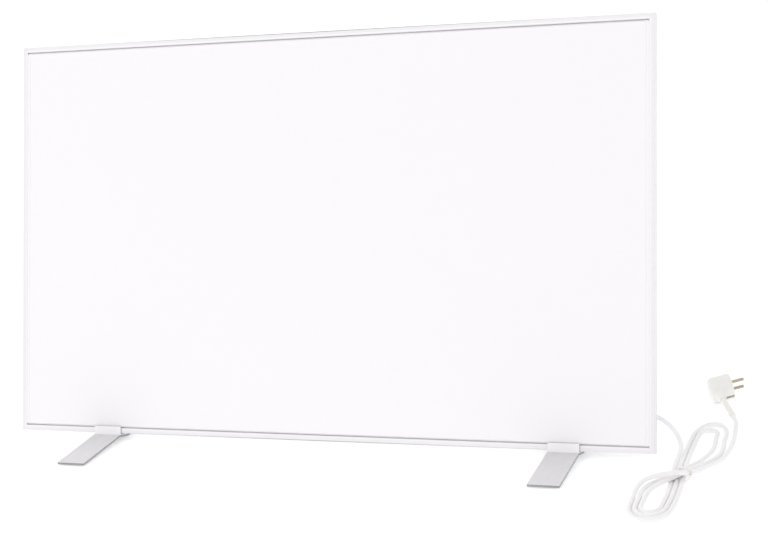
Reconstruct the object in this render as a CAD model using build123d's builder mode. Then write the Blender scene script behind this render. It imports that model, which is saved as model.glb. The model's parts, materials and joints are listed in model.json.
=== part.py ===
from build123d import *
from math import acos, atan2, cos, degrees, hypot, pi, radians, sin, tan
import os

# An infrared panel heater that stands on two sliding feet. The panel is a flat sandwich in a
# mitred aluminium frame and leans back a little; each foot is a bent strip with a channel that
# grips the bottom rail. A junction box on the back feeds a mains lead that lies beside the
# panel as a tied figure-of-eight hank and ends in an angled plug.
# All sizes in millimetres. +X to the right seen from the front, -Y to the front, +Z up.
# The origin is on the floor, midway between the feet's ends and the panel's sides.

# ---------------------------------------------------------------- panel and frame
PANEL_WIDTH = 1000.0
PANEL_HEIGHT = 600.0
LEAN = 14.0                # degrees that the panel leans back from upright
FRAME_DEPTH = 16.0
FRAME_FACE = 8.0           # width of a rail seen from the front
BEVEL_RUN = 3.0            # the face's inner edge slopes down over this width
BEVEL_DROP = 0.9
FRAME_WALL = 1.5
FLANGE_THICKNESS = 1.5     # front flange of the rail
SHELF_DEPTH = 5.0          # front of the shelf that carries the emitter's flange
SHELF_THICKNESS = 1.5
KEY_LEG = 30.0             # corner key, measured from the outer corner
KEY_CLEARANCE = 0.2
KEY_SCREW_INSET = 14.0
KEY_SCREW_RADIUS = 1.45
KEY_SCREW_HEAD = 2.6
KEY_SCREW_LENGTH = 6.0
SCREW_CLEARANCE = 0.1

# ---------------------------------------------------------------- emitter and its layers
SIDE_GAP = 0.4             # emitter to stile, left and right
END_GAP = 2.0              # shadow gap, emitter to rail, top and bottom
RECESS = 1.0               # emitter face behind the frame's face
SHEET = 0.8                # emitter and cover sheet metal
EMITTER_EDGE_RADIUS = 0.8
FLANGE_CLEARANCE = 1.0     # emitter flange to the rail's outer wall
FILM_THICKNESS = 0.4
FILM_MARGIN = 20.0
FILM_FOOT = 70.0           # height of the film's lower edge in the panel
BUSBAR_WIDTH = 12.0
BUSBAR_THICKNESS = 0.3
BUSBAR_TAIL = 6.0
MICA_THICKNESS = 0.6
MICA_MARGIN = 14.0
FOIL_THICKNESS = 0.2
BOARD_CLEARANCE = 0.4

# ---------------------------------------------------------------- back cover and its fixings
COVER_INSET = 2.0
COVER_SCREW_RADIUS = 1.4
COVER_SCREW_HEAD = 3.0
COVER_SCREW_HEAD_HEIGHT = 1.8
COVER_SCREW_LENGTH = 5.0
COVER_SCREW_INSET = 38.0   # outer screws of the top and bottom rails, from the panel's sides
COVER_SCREW_INNER = 110.0
STILE_SCREW_OFFSET = 120.0
BUSH_INSET = 120.0         # bushes from the panel's sides
BUSH_FOOT = 130.0          # lower pair above the panel's foot
BUSH_HEAD = 70.0           # upper pair below the panel's top
BUSH_RADIUS = 4.5
BUSH_FLANGE = 6.5
BUSH_FLANGE_THICKNESS = 1.0
BUSH_LENGTH = 12.0
BUSH_BORE = 2.5
BUSH_BORE_DEPTH = 11.0
BUSH_POCKET_CLEARANCE = 0.5

# ---------------------------------------------------------------- junction box, in the panel's own axes
BOX_INSET = 60.0           # box from the panel's right side
BOX_FOOT = 32.0
BOX_WIDTH = 85.0
BOX_HEIGHT = 60.0
BOX_DEPTH = 24.0
BOX_WALL = 2.0
BOX_CORNER = 4.0
LID_THICKNESS = 2.0
LID_RIM = 1.5
POST_RADIUS = 3.5
POST_INSET = 6.0
LID_SCREW_RADIUS = 1.2
LID_SCREW_HEAD = 2.4
LID_SCREW_LENGTH = 10.0
LID_SCREW_HEAD_HEIGHT = 1.2
OPENING_OFFSET = 22.5      # opening for the leads, left of the terminal block's left side
OPENING_Y = 52.0
OPENING_WIDTH = 33.0
OPENING_HEIGHT = 26.0
CUTOUT_RADIUS = 7.5
CUTOUT_HEIGHT = 8.0
CUTOUT_OFFSET = 31.0       # left of the block's left side, as are the next offsets
TAB_SPACING = 8.0
TAB_WIDTH = 4.8
TAB_THICKNESS = 0.8
TAB_LENGTH = 7.0
BLOCK_INSET = 35.0         # block's left side from the box's right side
BLOCK_WIDTH = 18.0
BLOCK_DEPTH = 12.0
POLE_PITCH = 9.0
TERMINAL_SCREW_RADIUS = 1.8
TERMINAL_SCREW_LENGTH = 4.0
LEAD_DIAMETER = 2.0
LEAD_BEND = 2.5
LEAD_HEIGHT = 6.0          # lead axis above the box floor, where it enters the block
EARTH_SCREW_OFFSET = 36.0
EARTH_SCREW_Y = 78.0
EARTH_SCREW_RADIUS = 3.0
EARTH_SCREW_HEIGHT = 2.4
MICA_HOLE_OFFSET = 15.0
MICA_HOLE_RADIUS = 2.5

# ---------------------------------------------------------------- cable gland
GLAND_HEIGHT = 52.0        # axis, up the panel
GLAND_STANDOFF = 12.0      # axis behind the cover
GLAND_SHANK = 6.0
GLAND_HEX = 9.0
GLAND_COLLAR = 5.0
GLAND_NUT = 4.0
RELIEF_LENGTH = 25.0
RELIEF_ROOT = 7.0
RELIEF_TIP = 4.2

# ---------------------------------------------------------------- feet
FOOT_LENGTH = 290.0
FRONT_REACH = 115.0        # foot in front of the panel's lower front edge
FOOT_WIDTH = 45.0
PLATE_THICKNESS = 3.0
PLATE_CORNER = 1.5
PAD_THICKNESS = 1.5
PAD_LENGTH = 14.0
PAD_INSET = 6.0
PAD_SIDE = 4.0
SEAT_FRONT = 3.0           # bent seat, in front of and behind the panel's front face
SEAT_REAR = 21.0
CLIP_THICKNESS = 1.2
LINER_THICKNESS = 0.8
SLIDE_GAP = 0.2
LIP_HEIGHT = 10.5
REAR_FLANGE_HEIGHT = 24.0
LINER_SHORTFALL = 1.0
CLAMP_HEIGHT = 6.5         # clamp screw axis above the panel's lower edge
CLAMP_RADIUS = 2.0
CLAMP_RUNNING_GAP = 0.05
CLAMP_NUT_RADIUS = 4.2
CLAMP_NUT_HEIGHT = 3.2
CLAMP_TIP_GAP = 0.3
KNOB_RADIUS = 5.0
KNOB_LENGTH = 7.0
KNOB_GAP = 0.3
KNOB_FLUTES = 12
FLUTE_RADIUS = 0.7
RIVET_RADIUS = 1.5
RIVET_HEAD = 2.8
RIVET_CONE = 1.3
RIVET_SPACING = 24.0
LEFT_FOOT_INSET = 154.0    # each foot's middle from the panel's side
RIGHT_FOOT_INSET = 127.0

# ---------------------------------------------------------------- mains lead
CORD_DIAMETER = 6.5
FLOOR_GAP = 0.05
# Where the lead runs free: hand-chosen points, x from the panel's right side, then y and z.
LEAD_ROUTE = [
    (1.5, 10.0, 50.5),
    (16.0, 8.5, 39.5),
    (27.0, 5.5, 25.5),
    (32.2, -4.5, 12.2),
    (29.9, -24.0, 6.2),
    (30.4, -48.0, 4.8),
]
TAIL_ROUTE = [
    (79.5, -60.0, 10.2),
    (88.4, -28.0, 6.4),
    (92.2, 6.0, 3.6),
    (92.8, 42.0, 3.3),
    (91.2, 78.0, 3.3),
    (87.6, 112.0, 3.4),
]
LEVEL_RUN = 14.0           # straight stretch at the gland and at each end of the hank
SLEEVE_RUN = 20.0          # straight stretch at the plug's sleeve
# The hank: a loose figure of eight, three loops on the near side and two on the far side.
# The loops' oval ends: centre as x from the panel's right side and y, half width, half length.
NEAR_ENDS = [(26.1, -206.0, 12.8, 20.0), (26.1, -206.0, 20.0, 35.0), (26.3, -206.0, 27.4, 48.5)]
FAR_ENDS = [(57.8, 82.0, 22.8, 55.0), (55.4, 93.0, 12.4, 18.0)]
CROSSING_Y = -96.0         # both bands of strands cross here
STRAND_GAP = 0.6
BAND_LIFT = 7.6            # upper band above the lower one
SAMPLE_STEP = 2.0          # between the points that measure the hank
TIE_X = 43.5               # from the panel's right side
TIE_Y = -99.0
TIE_HEADING = 11.5         # degrees that the tie's axis turns from +Y towards +X
TIE_SLANT = 20.0           # most that a strand slants to the tie's axis
TIE_REACH = 12.0           # strands this near its axis go through the tie
TIE_WIDTH = 5.5
TIE_THICKNESS = 0.8

# ---------------------------------------------------------------- plug
PLUG_X = 41.3              # from the panel's right side
PLUG_Y = 239.8
PLUG_HEIGHT = 19.6
PLUG_HEADING = 21.5        # degrees the pins turn from +X towards +Y
PLUG_TILT = 10.0           # degrees the pins point up
FACE_TURN = 30.0           # degrees the earth contacts are turned from the cable exit
PLUG_DROOP = 8.0           # degrees the cable exit points down
PLUG_RADIUS = 19.0
PLUG_FRONT = 22.0          # face and back, from the cable's axis
PLUG_BACK = 12.0
PLUG_BACK_FILLET = 8.0
PLUG_EDGE_FILLET = 1.0
NECK_START = 10.0
NECK_END = 40.0
NECK_WIDTH = 22.0
NECK_DEPTH = 16.0
NECK_TIP_RADIUS = 5.2
SLEEVE_END = 93.0
SLEEVE_ROOT = 4.2
SLEEVE_TIP = 4.6
PIN_RADIUS = 2.4
PIN_LENGTH = 19.0
PIN_SPACING = 19.0
PIN_ROUNDING = 0.8
GROOVE_WIDTH = 6.5
GROOVE_DEPTH = 3.0
EARTH_STRIP_WIDTH = 4.5
EARTH_STRIP_THICKNESS = 1.2
EARTH_STRIP_LENGTH = 12.0

# ---------------------------------------------------------------- dependent sizes and planes
lean = radians(LEAN)
panel_up = Vector(0, sin(lean), cos(lean))
panel_front = Vector(0, -cos(lean), sin(lean))
panel_back = panel_front * -1
across = Vector(1, 0, 0)

seat_drop = SLIDE_GAP + LINER_THICKNESS + CLIP_THICKNESS
sole_top = PAD_THICKNESS + PLATE_THICKNESS
edge_y = -FOOT_LENGTH / 2 + FRONT_REACH
base_z = sole_top + SEAT_REAR * sin(lean) + seat_drop * cos(lean)
panel_plane = Plane(origin=(0, edge_y, base_z), x_dir=across, z_dir=panel_front)
middle = PANEL_HEIGHT / 2
half_width = PANEL_WIDTH / 2

emitter_width = PANEL_WIDTH - 2 * (FRAME_FACE + SIDE_GAP)
emitter_height = PANEL_HEIGHT - 2 * (FRAME_FACE + END_GAP)
film_front = RECESS + SHEET
busbar_front = film_front + FILM_THICKNESS
mica_front = busbar_front + BUSBAR_THICKNESS
foil_front = mica_front + MICA_THICKNESS
board_front = foil_front + FOIL_THICKNESS
cover_back = FRAME_DEPTH + SHEET
box_floor = cover_back + BOX_WALL
box_back = cover_back + BOX_DEPTH
rail_middle = FRAME_FACE / 2
cord_radius = CORD_DIAMETER / 2
box_right = half_width - BOX_INSET
box_left = box_right - BOX_WIDTH
block_left = box_right - BLOCK_INSET
opening_x = block_left - OPENING_OFFSET
cutout_x = block_left - CUTOUT_OFFSET
mica_hole_x = block_left - MICA_HOLE_OFFSET
earth_screw_x = block_left - EARTH_SCREW_OFFSET


def at(depth):
    """The panel's own plane, this far behind the frame's front face."""
    return panel_plane.offset(-depth)


def in_panel(x, y, depth):
    """A point given across, up and into the panel, in the part's own axes."""
    return panel_plane.from_local_coords((x, y, -depth))


def finish(part, label):
    """Name one sub-part and write it to its own file."""
    part.label = label
    export_step(part, "parts/" + label + ".step")
    return part


os.makedirs("parts", exist_ok=True)

# ================================================================ frame
outer_screw_x = half_width - COVER_SCREW_INSET
cover_screw_points = [
    (x, y)
    for x in (-outer_screw_x, -COVER_SCREW_INNER, COVER_SCREW_INNER, outer_screw_x)
    for y in (rail_middle, PANEL_HEIGHT - rail_middle)
] + [
    (x, middle + y)
    for x in (-PANEL_WIDTH / 2 + rail_middle, PANEL_WIDTH / 2 - rail_middle)
    for y in (-STILE_SCREW_OFFSET, STILE_SCREW_OFFSET)
]
key_screw_points = [
    (side_x * (PANEL_WIDTH / 2 - inset_x), middle + side_y * (middle - inset_y))
    for side_x in (-1, 1)
    for side_y in (-1, 1)
    for inset_x, inset_y in ((KEY_SCREW_INSET, rail_middle), (rail_middle, KEY_SCREW_INSET))
]
chamber_front = SHELF_DEPTH + SHELF_THICKNESS
chamber_back = FRAME_DEPTH - FRAME_WALL
chamber_width = FRAME_FACE - 2 * FRAME_WALL


def frame_rail(length, centre, inward, along):
    """One hollow rail with mitred ends and its screw holes."""
    with BuildPart() as rail:
        with BuildSketch(Plane(origin=centre, x_dir=inward, z_dir=along)):
            with BuildLine():
                Polyline(
                    (0, 0),
                    (FRAME_FACE - BEVEL_RUN, 0),
                    (FRAME_FACE, -BEVEL_DROP),
                    (FRAME_FACE, -FLANGE_THICKNESS),
                    (FRAME_WALL, -FLANGE_THICKNESS),
                    (FRAME_WALL, -SHELF_DEPTH),
                    (FRAME_FACE, -SHELF_DEPTH),
                    (FRAME_FACE, -FRAME_DEPTH),
                    (0, -FRAME_DEPTH),
                    close=True,
                )
            make_face()
            with Locations((rail_middle, -(chamber_front + chamber_back) / 2)):
                Rectangle(chamber_width, chamber_back - chamber_front, mode=Mode.SUBTRACT)
        extrude(amount=length / 2, both=True)
        with BuildSketch(Plane(origin=centre, x_dir=along, z_dir=panel_front)):
            with BuildLine():
                Polyline(
                    (-length / 2, 0),
                    (length / 2, 0),
                    (length / 2 - FRAME_FACE, FRAME_FACE),
                    (FRAME_FACE - length / 2, FRAME_FACE),
                    close=True,
                )
            make_face()
        extrude(amount=-FRAME_DEPTH, mode=Mode.INTERSECT)
        with BuildSketch(at(FRAME_DEPTH)):
            with Locations(cover_screw_points):
                Circle(COVER_SCREW_RADIUS + SCREW_CLEARANCE)
            with Locations(key_screw_points):
                Circle(KEY_SCREW_RADIUS + SCREW_CLEARANCE)
        extrude(amount=FRAME_WALL, mode=Mode.SUBTRACT)
        with BuildSketch(at(FRAME_DEPTH)):
            with Locations(key_screw_points):
                Circle(KEY_SCREW_HEAD + SCREW_CLEARANCE)
        extrude(amount=FRAME_WALL - SCREW_CLEARANCE, taper=45, mode=Mode.SUBTRACT)
    return rail.part


finish(frame_rail(PANEL_WIDTH, in_panel(0, 0, 0), panel_up, across), "frame_bottom_rail")
finish(frame_rail(PANEL_WIDTH, in_panel(0, PANEL_HEIGHT, 0), panel_up * -1, across * -1), "frame_top_rail")
finish(frame_rail(PANEL_HEIGHT, in_panel(half_width, middle, 0), across * -1, panel_up), "frame_right_stile")
finish(frame_rail(PANEL_HEIGHT, in_panel(-half_width, middle, 0), across, panel_up * -1), "frame_left_stile")

# L-shaped keys in the rails' chambers hold the mitres together.
key_inner = FRAME_WALL + KEY_CLEARANCE
key_width = chamber_width - 2 * KEY_CLEARANCE
with BuildPart() as corner_keys:
    for side_x in (-1, 1):
        for side_y in (-1, 1):
            with BuildSketch(at(chamber_back - KEY_CLEARANCE)):
                corner_x = side_x * (half_width - key_inner)
                corner_y = middle + side_y * (middle - key_inner)
                leg = KEY_LEG - key_inner
                with Locations((corner_x - side_x * leg / 2, corner_y - side_y * key_width / 2)):
                    Rectangle(leg, key_width)
                with Locations((corner_x - side_x * key_width / 2, corner_y - side_y * leg / 2)):
                    Rectangle(key_width, leg)
            extrude(amount=chamber_back - chamber_front - 2 * KEY_CLEARANCE)
    with BuildSketch(at(chamber_back)):
        with Locations(key_screw_points):
            Circle(KEY_SCREW_RADIUS + SCREW_CLEARANCE)
    extrude(amount=KEY_SCREW_LENGTH, mode=Mode.SUBTRACT)
finish(corner_keys.part, "corner_keys")

with BuildPart() as corner_screws:
    with BuildSketch(at(FRAME_DEPTH)):
        with Locations(key_screw_points):
            Circle(KEY_SCREW_HEAD)
    extrude(amount=KEY_SCREW_HEAD - KEY_SCREW_RADIUS, taper=45)
    with BuildSketch(at(FRAME_DEPTH)):
        with Locations(key_screw_points):
            Circle(KEY_SCREW_RADIUS)
    extrude(amount=KEY_SCREW_LENGTH)
finish(corner_screws.part, "corner_screws")

# ================================================================ emitter sandwich
with BuildPart() as emitter_plate:
    with BuildSketch(at(SHELF_DEPTH)):
        with Locations((0, middle)):
            Rectangle(emitter_width, emitter_height)
    extrude(amount=SHELF_DEPTH - RECESS)
    with BuildSketch(at(SHELF_DEPTH)):
        with Locations((0, middle)):
            Rectangle(emitter_width - 2 * SHEET, emitter_height - 2 * SHEET)
    extrude(amount=SHELF_DEPTH - RECESS - SHEET, mode=Mode.SUBTRACT)
    front_face = emitter_plate.faces().sort_by(Axis(in_panel(0, 0, 0), panel_front))[-1]
    fillet(front_face.edges(), EMITTER_EDGE_RADIUS)
    flange_inset = FRAME_WALL + FLANGE_CLEARANCE
    with BuildSketch(at(SHELF_DEPTH)):
        with Locations((0, middle)):
            Rectangle(PANEL_WIDTH - 2 * flange_inset, PANEL_HEIGHT - 2 * flange_inset)
            Rectangle(emitter_width - SHEET, emitter_height - SHEET, mode=Mode.SUBTRACT)
    extrude(amount=SHEET)
finish(emitter_plate.part, "emitter_plate")

with BuildPart() as heating_film:
    with BuildSketch(at(busbar_front)):
        with Locations((0, (FILM_FOOT + PANEL_HEIGHT - FILM_MARGIN) / 2)):
            Rectangle(PANEL_WIDTH - 2 * FILM_MARGIN, PANEL_HEIGHT - FILM_MARGIN - FILM_FOOT)
    extrude(amount=FILM_THICKNESS)
finish(heating_film.part, "heating_film")

# Each busbar is an upright strip on the film with a tail along the foot of the panel.
strip_edge = half_width - FILM_MARGIN
strip_top = PANEL_HEIGHT - FILM_MARGIN - BUSBAR_WIDTH / 2
live_y = OPENING_Y + POLE_PITCH - LEAD_DIAMETER
neutral_y = OPENING_Y - POLE_PITCH
for label, side, tail_y in (("busbar_left", -1, live_y), ("busbar_right", 1, neutral_y)):
    tail_foot = tail_y - BUSBAR_TAIL / 2
    tail_end = mica_hole_x + (BUSBAR_TAIL / 2 if side < 0 else -BUSBAR_TAIL / 2)
    with BuildPart() as busbar:
        with BuildSketch(at(mica_front)):
            with Locations((side * (strip_edge - BUSBAR_WIDTH / 2), (tail_foot + strip_top) / 2)):
                Rectangle(BUSBAR_WIDTH, strip_top - tail_foot)
            with Locations(((side * strip_edge + tail_end) / 2, tail_y)):
                Rectangle(abs(side * strip_edge - tail_end), BUSBAR_TAIL)
        extrude(amount=BUSBAR_THICKNESS)
    finish(busbar.part, label)

with BuildPart() as mica_sheet:
    with BuildSketch(at(foil_front)):
        with Locations((0, middle)):
            Rectangle(PANEL_WIDTH - 2 * MICA_MARGIN, PANEL_HEIGHT - 2 * MICA_MARGIN)
        with Locations((mica_hole_x, live_y), (mica_hole_x, neutral_y)):
            Circle(MICA_HOLE_RADIUS, mode=Mode.SUBTRACT)
    extrude(amount=MICA_THICKNESS)
finish(mica_sheet.part, "mica_sheet")

with BuildPart() as reflector_foil:
    with BuildSketch(at(board_front)):
        with Locations((0, middle)):
            Rectangle(PANEL_WIDTH - 2 * MICA_MARGIN, PANEL_HEIGHT - 2 * MICA_MARGIN)
        with Locations((opening_x, OPENING_Y)):
            Rectangle(OPENING_WIDTH, OPENING_HEIGHT, mode=Mode.SUBTRACT)
    extrude(amount=FOIL_THICKNESS)
finish(reflector_foil.part, "reflector_foil")

bush_points = [
    (x, y)
    for x in (BUSH_INSET - half_width, half_width - BUSH_INSET)
    for y in (BUSH_FOOT, PANEL_HEIGHT - BUSH_HEAD)
]
with BuildPart() as insulation_board:
    with BuildSketch(at(FRAME_DEPTH)):
        with Locations((0, middle)):
            Rectangle(
                emitter_width - 2 * (SHEET + BOARD_CLEARANCE),
                emitter_height - 2 * (SHEET + BOARD_CLEARANCE),
            )
        with Locations((opening_x, OPENING_Y)):
            Rectangle(OPENING_WIDTH, OPENING_HEIGHT, mode=Mode.SUBTRACT)
        with Locations(bush_points):
            Circle(BUSH_RADIUS + BUSH_POCKET_CLEARANCE, mode=Mode.SUBTRACT)
    extrude(amount=FRAME_DEPTH - board_front)
finish(insulation_board.part, "insulation_board")

# ================================================================ back cover
with BuildPart() as back_cover:
    with BuildSketch(at(cover_back)):
        with Locations((0, middle)):
            Rectangle(PANEL_WIDTH - 2 * COVER_INSET, PANEL_HEIGHT - 2 * COVER_INSET)
        with Locations(cover_screw_points):
            Circle(COVER_SCREW_RADIUS + SCREW_CLEARANCE, mode=Mode.SUBTRACT)
        with Locations(bush_points):
            Circle(BUSH_RADIUS + SCREW_CLEARANCE, mode=Mode.SUBTRACT)
        with Locations((opening_x, OPENING_Y)):
            Rectangle(OPENING_WIDTH, OPENING_HEIGHT, mode=Mode.SUBTRACT)
    extrude(amount=SHEET)
finish(back_cover.part, "back_cover")

with BuildPart() as cover_screws:
    with BuildSketch(at(cover_back)):
        with Locations(cover_screw_points):
            Circle(COVER_SCREW_HEAD)
    extrude(amount=-COVER_SCREW_HEAD_HEIGHT, taper=20)
    with BuildSketch(at(cover_back)):
        with Locations(cover_screw_points):
            Circle(COVER_SCREW_RADIUS)
    extrude(amount=COVER_SCREW_LENGTH)
finish(cover_screws.part, "back_cover_screws")

# Threaded bushes in the back, for a wall bracket.
with BuildPart() as wall_bushes:
    with BuildSketch(at(cover_back)):
        with Locations(bush_points):
            Circle(BUSH_FLANGE)
    extrude(amount=-BUSH_FLANGE_THICKNESS)
    with BuildSketch(at(cover_back)):
        with Locations(bush_points):
            Circle(BUSH_RADIUS)
    extrude(amount=BUSH_LENGTH)
    with BuildSketch(at(cover_back + BUSH_FLANGE_THICKNESS)):
        with Locations(bush_points):
            Circle(BUSH_BORE)
    extrude(amount=BUSH_BORE_DEPTH, mode=Mode.SUBTRACT)
finish(wall_bushes.part, "wall_bushes")

# ================================================================ junction box
box_x = (box_left + box_right) / 2
box_y = BOX_FOOT + BOX_HEIGHT / 2
inner_width = BOX_WIDTH - 2 * BOX_WALL
inner_height = BOX_HEIGHT - 2 * BOX_WALL
gland_depth = cover_back + GLAND_STANDOFF
post_points = [
    (box_x + side_x * (BOX_WIDTH / 2 - POST_INSET), box_y + side_y * (BOX_HEIGHT / 2 - POST_INSET))
    for side_x in (-1, 1)
    for side_y in (-1, 1)
]


def across_plane(x):
    """A plane square to the gland's axis, its own z to the right."""
    return Plane(origin=in_panel(x, GLAND_HEIGHT, gland_depth), x_dir=panel_up, z_dir=across)


with BuildPart() as junction_box:
    with BuildSketch(at(box_back)):
        with Locations((box_x, box_y)):
            RectangleRounded(BOX_WIDTH, BOX_HEIGHT, BOX_CORNER)
    extrude(amount=BOX_DEPTH)
    with BuildSketch(at(box_back)):
        with Locations((box_x, box_y)):
            RectangleRounded(inner_width, inner_height, BOX_CORNER - BOX_WALL)
    extrude(amount=BOX_DEPTH - BOX_WALL, mode=Mode.SUBTRACT)
    with BuildSketch(at(box_floor)):
        with Locations(post_points):
            Circle(POST_RADIUS)
    extrude(amount=-(BOX_DEPTH - BOX_WALL))
    with BuildSketch(at(box_back)):
        with Locations(post_points):
            Circle(LID_SCREW_RADIUS + SCREW_CLEARANCE)
    extrude(amount=LID_SCREW_LENGTH, mode=Mode.SUBTRACT)
    with BuildSketch(at(box_floor)):
        with Locations((opening_x, OPENING_Y)):
            Rectangle(OPENING_WIDTH, OPENING_HEIGHT)
    extrude(amount=BOX_WALL, mode=Mode.SUBTRACT)
    with BuildSketch(across_plane(box_right)):
        Circle(GLAND_SHANK + SCREW_CLEARANCE)
    extrude(amount=-BOX_WALL, mode=Mode.SUBTRACT)
finish(junction_box.part, "junction_box")

with BuildPart() as junction_box_lid:
    with BuildSketch(at(box_back + LID_THICKNESS)):
        with Locations((box_x, box_y)):
            RectangleRounded(BOX_WIDTH, BOX_HEIGHT, BOX_CORNER)
    extrude(amount=LID_THICKNESS)
    back_face = junction_box_lid.faces().sort_by(Axis(in_panel(0, 0, 0), panel_back))[-1]
    fillet(back_face.edges(), LID_THICKNESS / 2)
    rim_width = inner_width - 4 * POST_RADIUS - POST_INSET
    rim_height = inner_height - 4 * POST_RADIUS - POST_INSET
    with BuildSketch(at(box_back)):
        with Locations((box_x, box_y)):
            Rectangle(rim_width, inner_height - 2 * KEY_CLEARANCE)
            Rectangle(rim_width, inner_height - 2 * BOX_WALL, mode=Mode.SUBTRACT)
    extrude(amount=LID_RIM)
    with BuildSketch(at(box_back + LID_THICKNESS)):
        with Locations(post_points):
            Circle(LID_SCREW_RADIUS + SCREW_CLEARANCE)
    extrude(amount=LID_THICKNESS, mode=Mode.SUBTRACT)
finish(junction_box_lid.part, "junction_box_lid")

with BuildPart() as lid_screws:
    with BuildSketch(at(box_back + LID_THICKNESS)):
        with Locations(post_points):
            Circle(LID_SCREW_HEAD)
    extrude(amount=-LID_SCREW_HEAD_HEIGHT, taper=15)
    with BuildSketch(at(box_back + LID_THICKNESS)):
        with Locations(post_points):
            Circle(LID_SCREW_RADIUS)
    extrude(amount=LID_SCREW_LENGTH)
finish(lid_screws.part, "lid_screws")

pole_heights = [OPENING_Y + step * POLE_PITCH for step in (-1, 0, 1)]
block_x = block_left + BLOCK_WIDTH / 2
block_back = box_floor + BLOCK_DEPTH
with BuildPart() as terminal_block:
    with BuildSketch(at(block_back)):
        with Locations((block_x, OPENING_Y)):
            RectangleRounded(BLOCK_WIDTH, 3 * POLE_PITCH, 1.0)
    extrude(amount=BLOCK_DEPTH)
    with BuildSketch(at(block_back)):
        with Locations([(block_x, height) for height in pole_heights]):
            Circle(TERMINAL_SCREW_RADIUS + SCREW_CLEARANCE)
    extrude(amount=TERMINAL_SCREW_LENGTH, mode=Mode.SUBTRACT)
finish(terminal_block.part, "terminal_block")

with BuildPart() as terminal_screws:
    with BuildSketch(at(block_back - TERMINAL_SCREW_LENGTH)):
        with Locations([(block_x, height) for height in pole_heights]):
            Circle(TERMINAL_SCREW_RADIUS)
    extrude(amount=-TERMINAL_SCREW_LENGTH / 2)
finish(terminal_screws.part, "terminal_screws")

cutout_back = foil_front + CUTOUT_HEIGHT
with BuildPart() as thermal_cutout:
    with BuildSketch(at(cutout_back)):
        with Locations((cutout_x, OPENING_Y)):
            Circle(CUTOUT_RADIUS)
    extrude(amount=CUTOUT_HEIGHT)
    with BuildSketch(at(cutout_back)):
        with Locations((cutout_x - TAB_SPACING / 2, OPENING_Y), (cutout_x + TAB_SPACING / 2, OPENING_Y)):
            Rectangle(TAB_THICKNESS, TAB_WIDTH)
    extrude(amount=-TAB_LENGTH)
finish(thermal_cutout.part, "thermal_cutout")

with BuildPart() as earth_screw:
    with BuildSketch(at(box_floor)):
        with Locations((earth_screw_x, EARTH_SCREW_Y)):
            RegularPolygon(EARTH_SCREW_RADIUS, 6)
    extrude(amount=-EARTH_SCREW_HEIGHT)
finish(earth_screw.part, "earth_screw")


def wire(points, diameter, bend):
    """A round wire along straight runs given in the panel's axes, its corners bent."""
    route = [in_panel(*point) for point in points]
    with BuildPart() as tube:
        with BuildLine() as path:
            FilletPolyline(*route, radius=bend)
        with BuildSketch(Plane(origin=path.line @ 0, z_dir=path.line % 0)):
            Circle(diameter / 2)
        sweep(path=path.line)
    return tube.part


lead_depth = box_floor + LEAD_HEIGHT
link_depth = lead_depth - 1.5 * LEAD_DIAMETER
earth_depth = lead_depth + 3 * LEAD_DIAMETER
tab_end = cutout_back + TAB_LENGTH
right_tab = cutout_x + TAB_SPACING / 2
left_tab = cutout_x - TAB_SPACING / 2
live_wires = [
    wire(
        [
            (block_left, pole_heights[2], lead_depth),
            (right_tab, pole_heights[2], lead_depth),
            (right_tab, OPENING_Y, lead_depth),
            (right_tab, OPENING_Y, tab_end),
        ],
        LEAD_DIAMETER,
        LEAD_BEND,
    ),
    wire(
        [
            (left_tab, OPENING_Y, tab_end),
            (left_tab, OPENING_Y, link_depth),
            (left_tab, live_y, link_depth),
            (mica_hole_x, live_y, link_depth),
            (mica_hole_x, live_y, mica_front),
        ],
        LEAD_DIAMETER,
        LEAD_DIAMETER,
    ),
]
finish(Compound(children=live_wires), "live_lead")
finish(
    wire(
        [
            (block_left, neutral_y, lead_depth),
            (mica_hole_x, neutral_y, lead_depth),
            (mica_hole_x, neutral_y, mica_front),
        ],
        LEAD_DIAMETER,
        LEAD_BEND,
    ),
    "neutral_lead",
)
earth_x = block_left - 3 * LEAD_DIAMETER
finish(
    wire(
        [
            (block_left, OPENING_Y, lead_depth),
            (earth_x, OPENING_Y, lead_depth),
            (earth_x, OPENING_Y, earth_depth),
            (earth_x, EARTH_SCREW_Y, earth_depth),
            (earth_screw_x, EARTH_SCREW_Y, earth_depth),
            (earth_screw_x, EARTH_SCREW_Y, box_floor + EARTH_SCREW_HEIGHT),
        ],
        LEAD_DIAMETER,
        LEAD_BEND,
    ),
    "earth_lead",
)

# ================================================================ cable gland
shank_end = box_right - BOX_WALL - GLAND_NUT
with BuildPart() as cable_gland:
    with BuildSketch(across_plane(shank_end)):
        Circle(GLAND_SHANK)
    extrude(amount=box_right - shank_end)
    with BuildSketch(across_plane(box_right)):
        RegularPolygon(GLAND_HEX, 6)
    extrude(amount=GLAND_COLLAR)
    relief_start = box_right + GLAND_COLLAR
    with BuildSketch(across_plane(relief_start)):
        Circle(RELIEF_ROOT)
    with BuildSketch(across_plane(relief_start + RELIEF_LENGTH)):
        Circle(RELIEF_TIP)
    loft()
finish(cable_gland.part, "cable_gland")

with BuildPart() as gland_nut:
    with BuildSketch(across_plane(shank_end)):
        RegularPolygon(GLAND_HEX, 6)
        Circle(GLAND_SHANK + SCREW_CLEARANCE, mode=Mode.SUBTRACT)
    extrude(amount=GLAND_NUT)
finish(gland_nut.part, "gland_nut")

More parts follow.
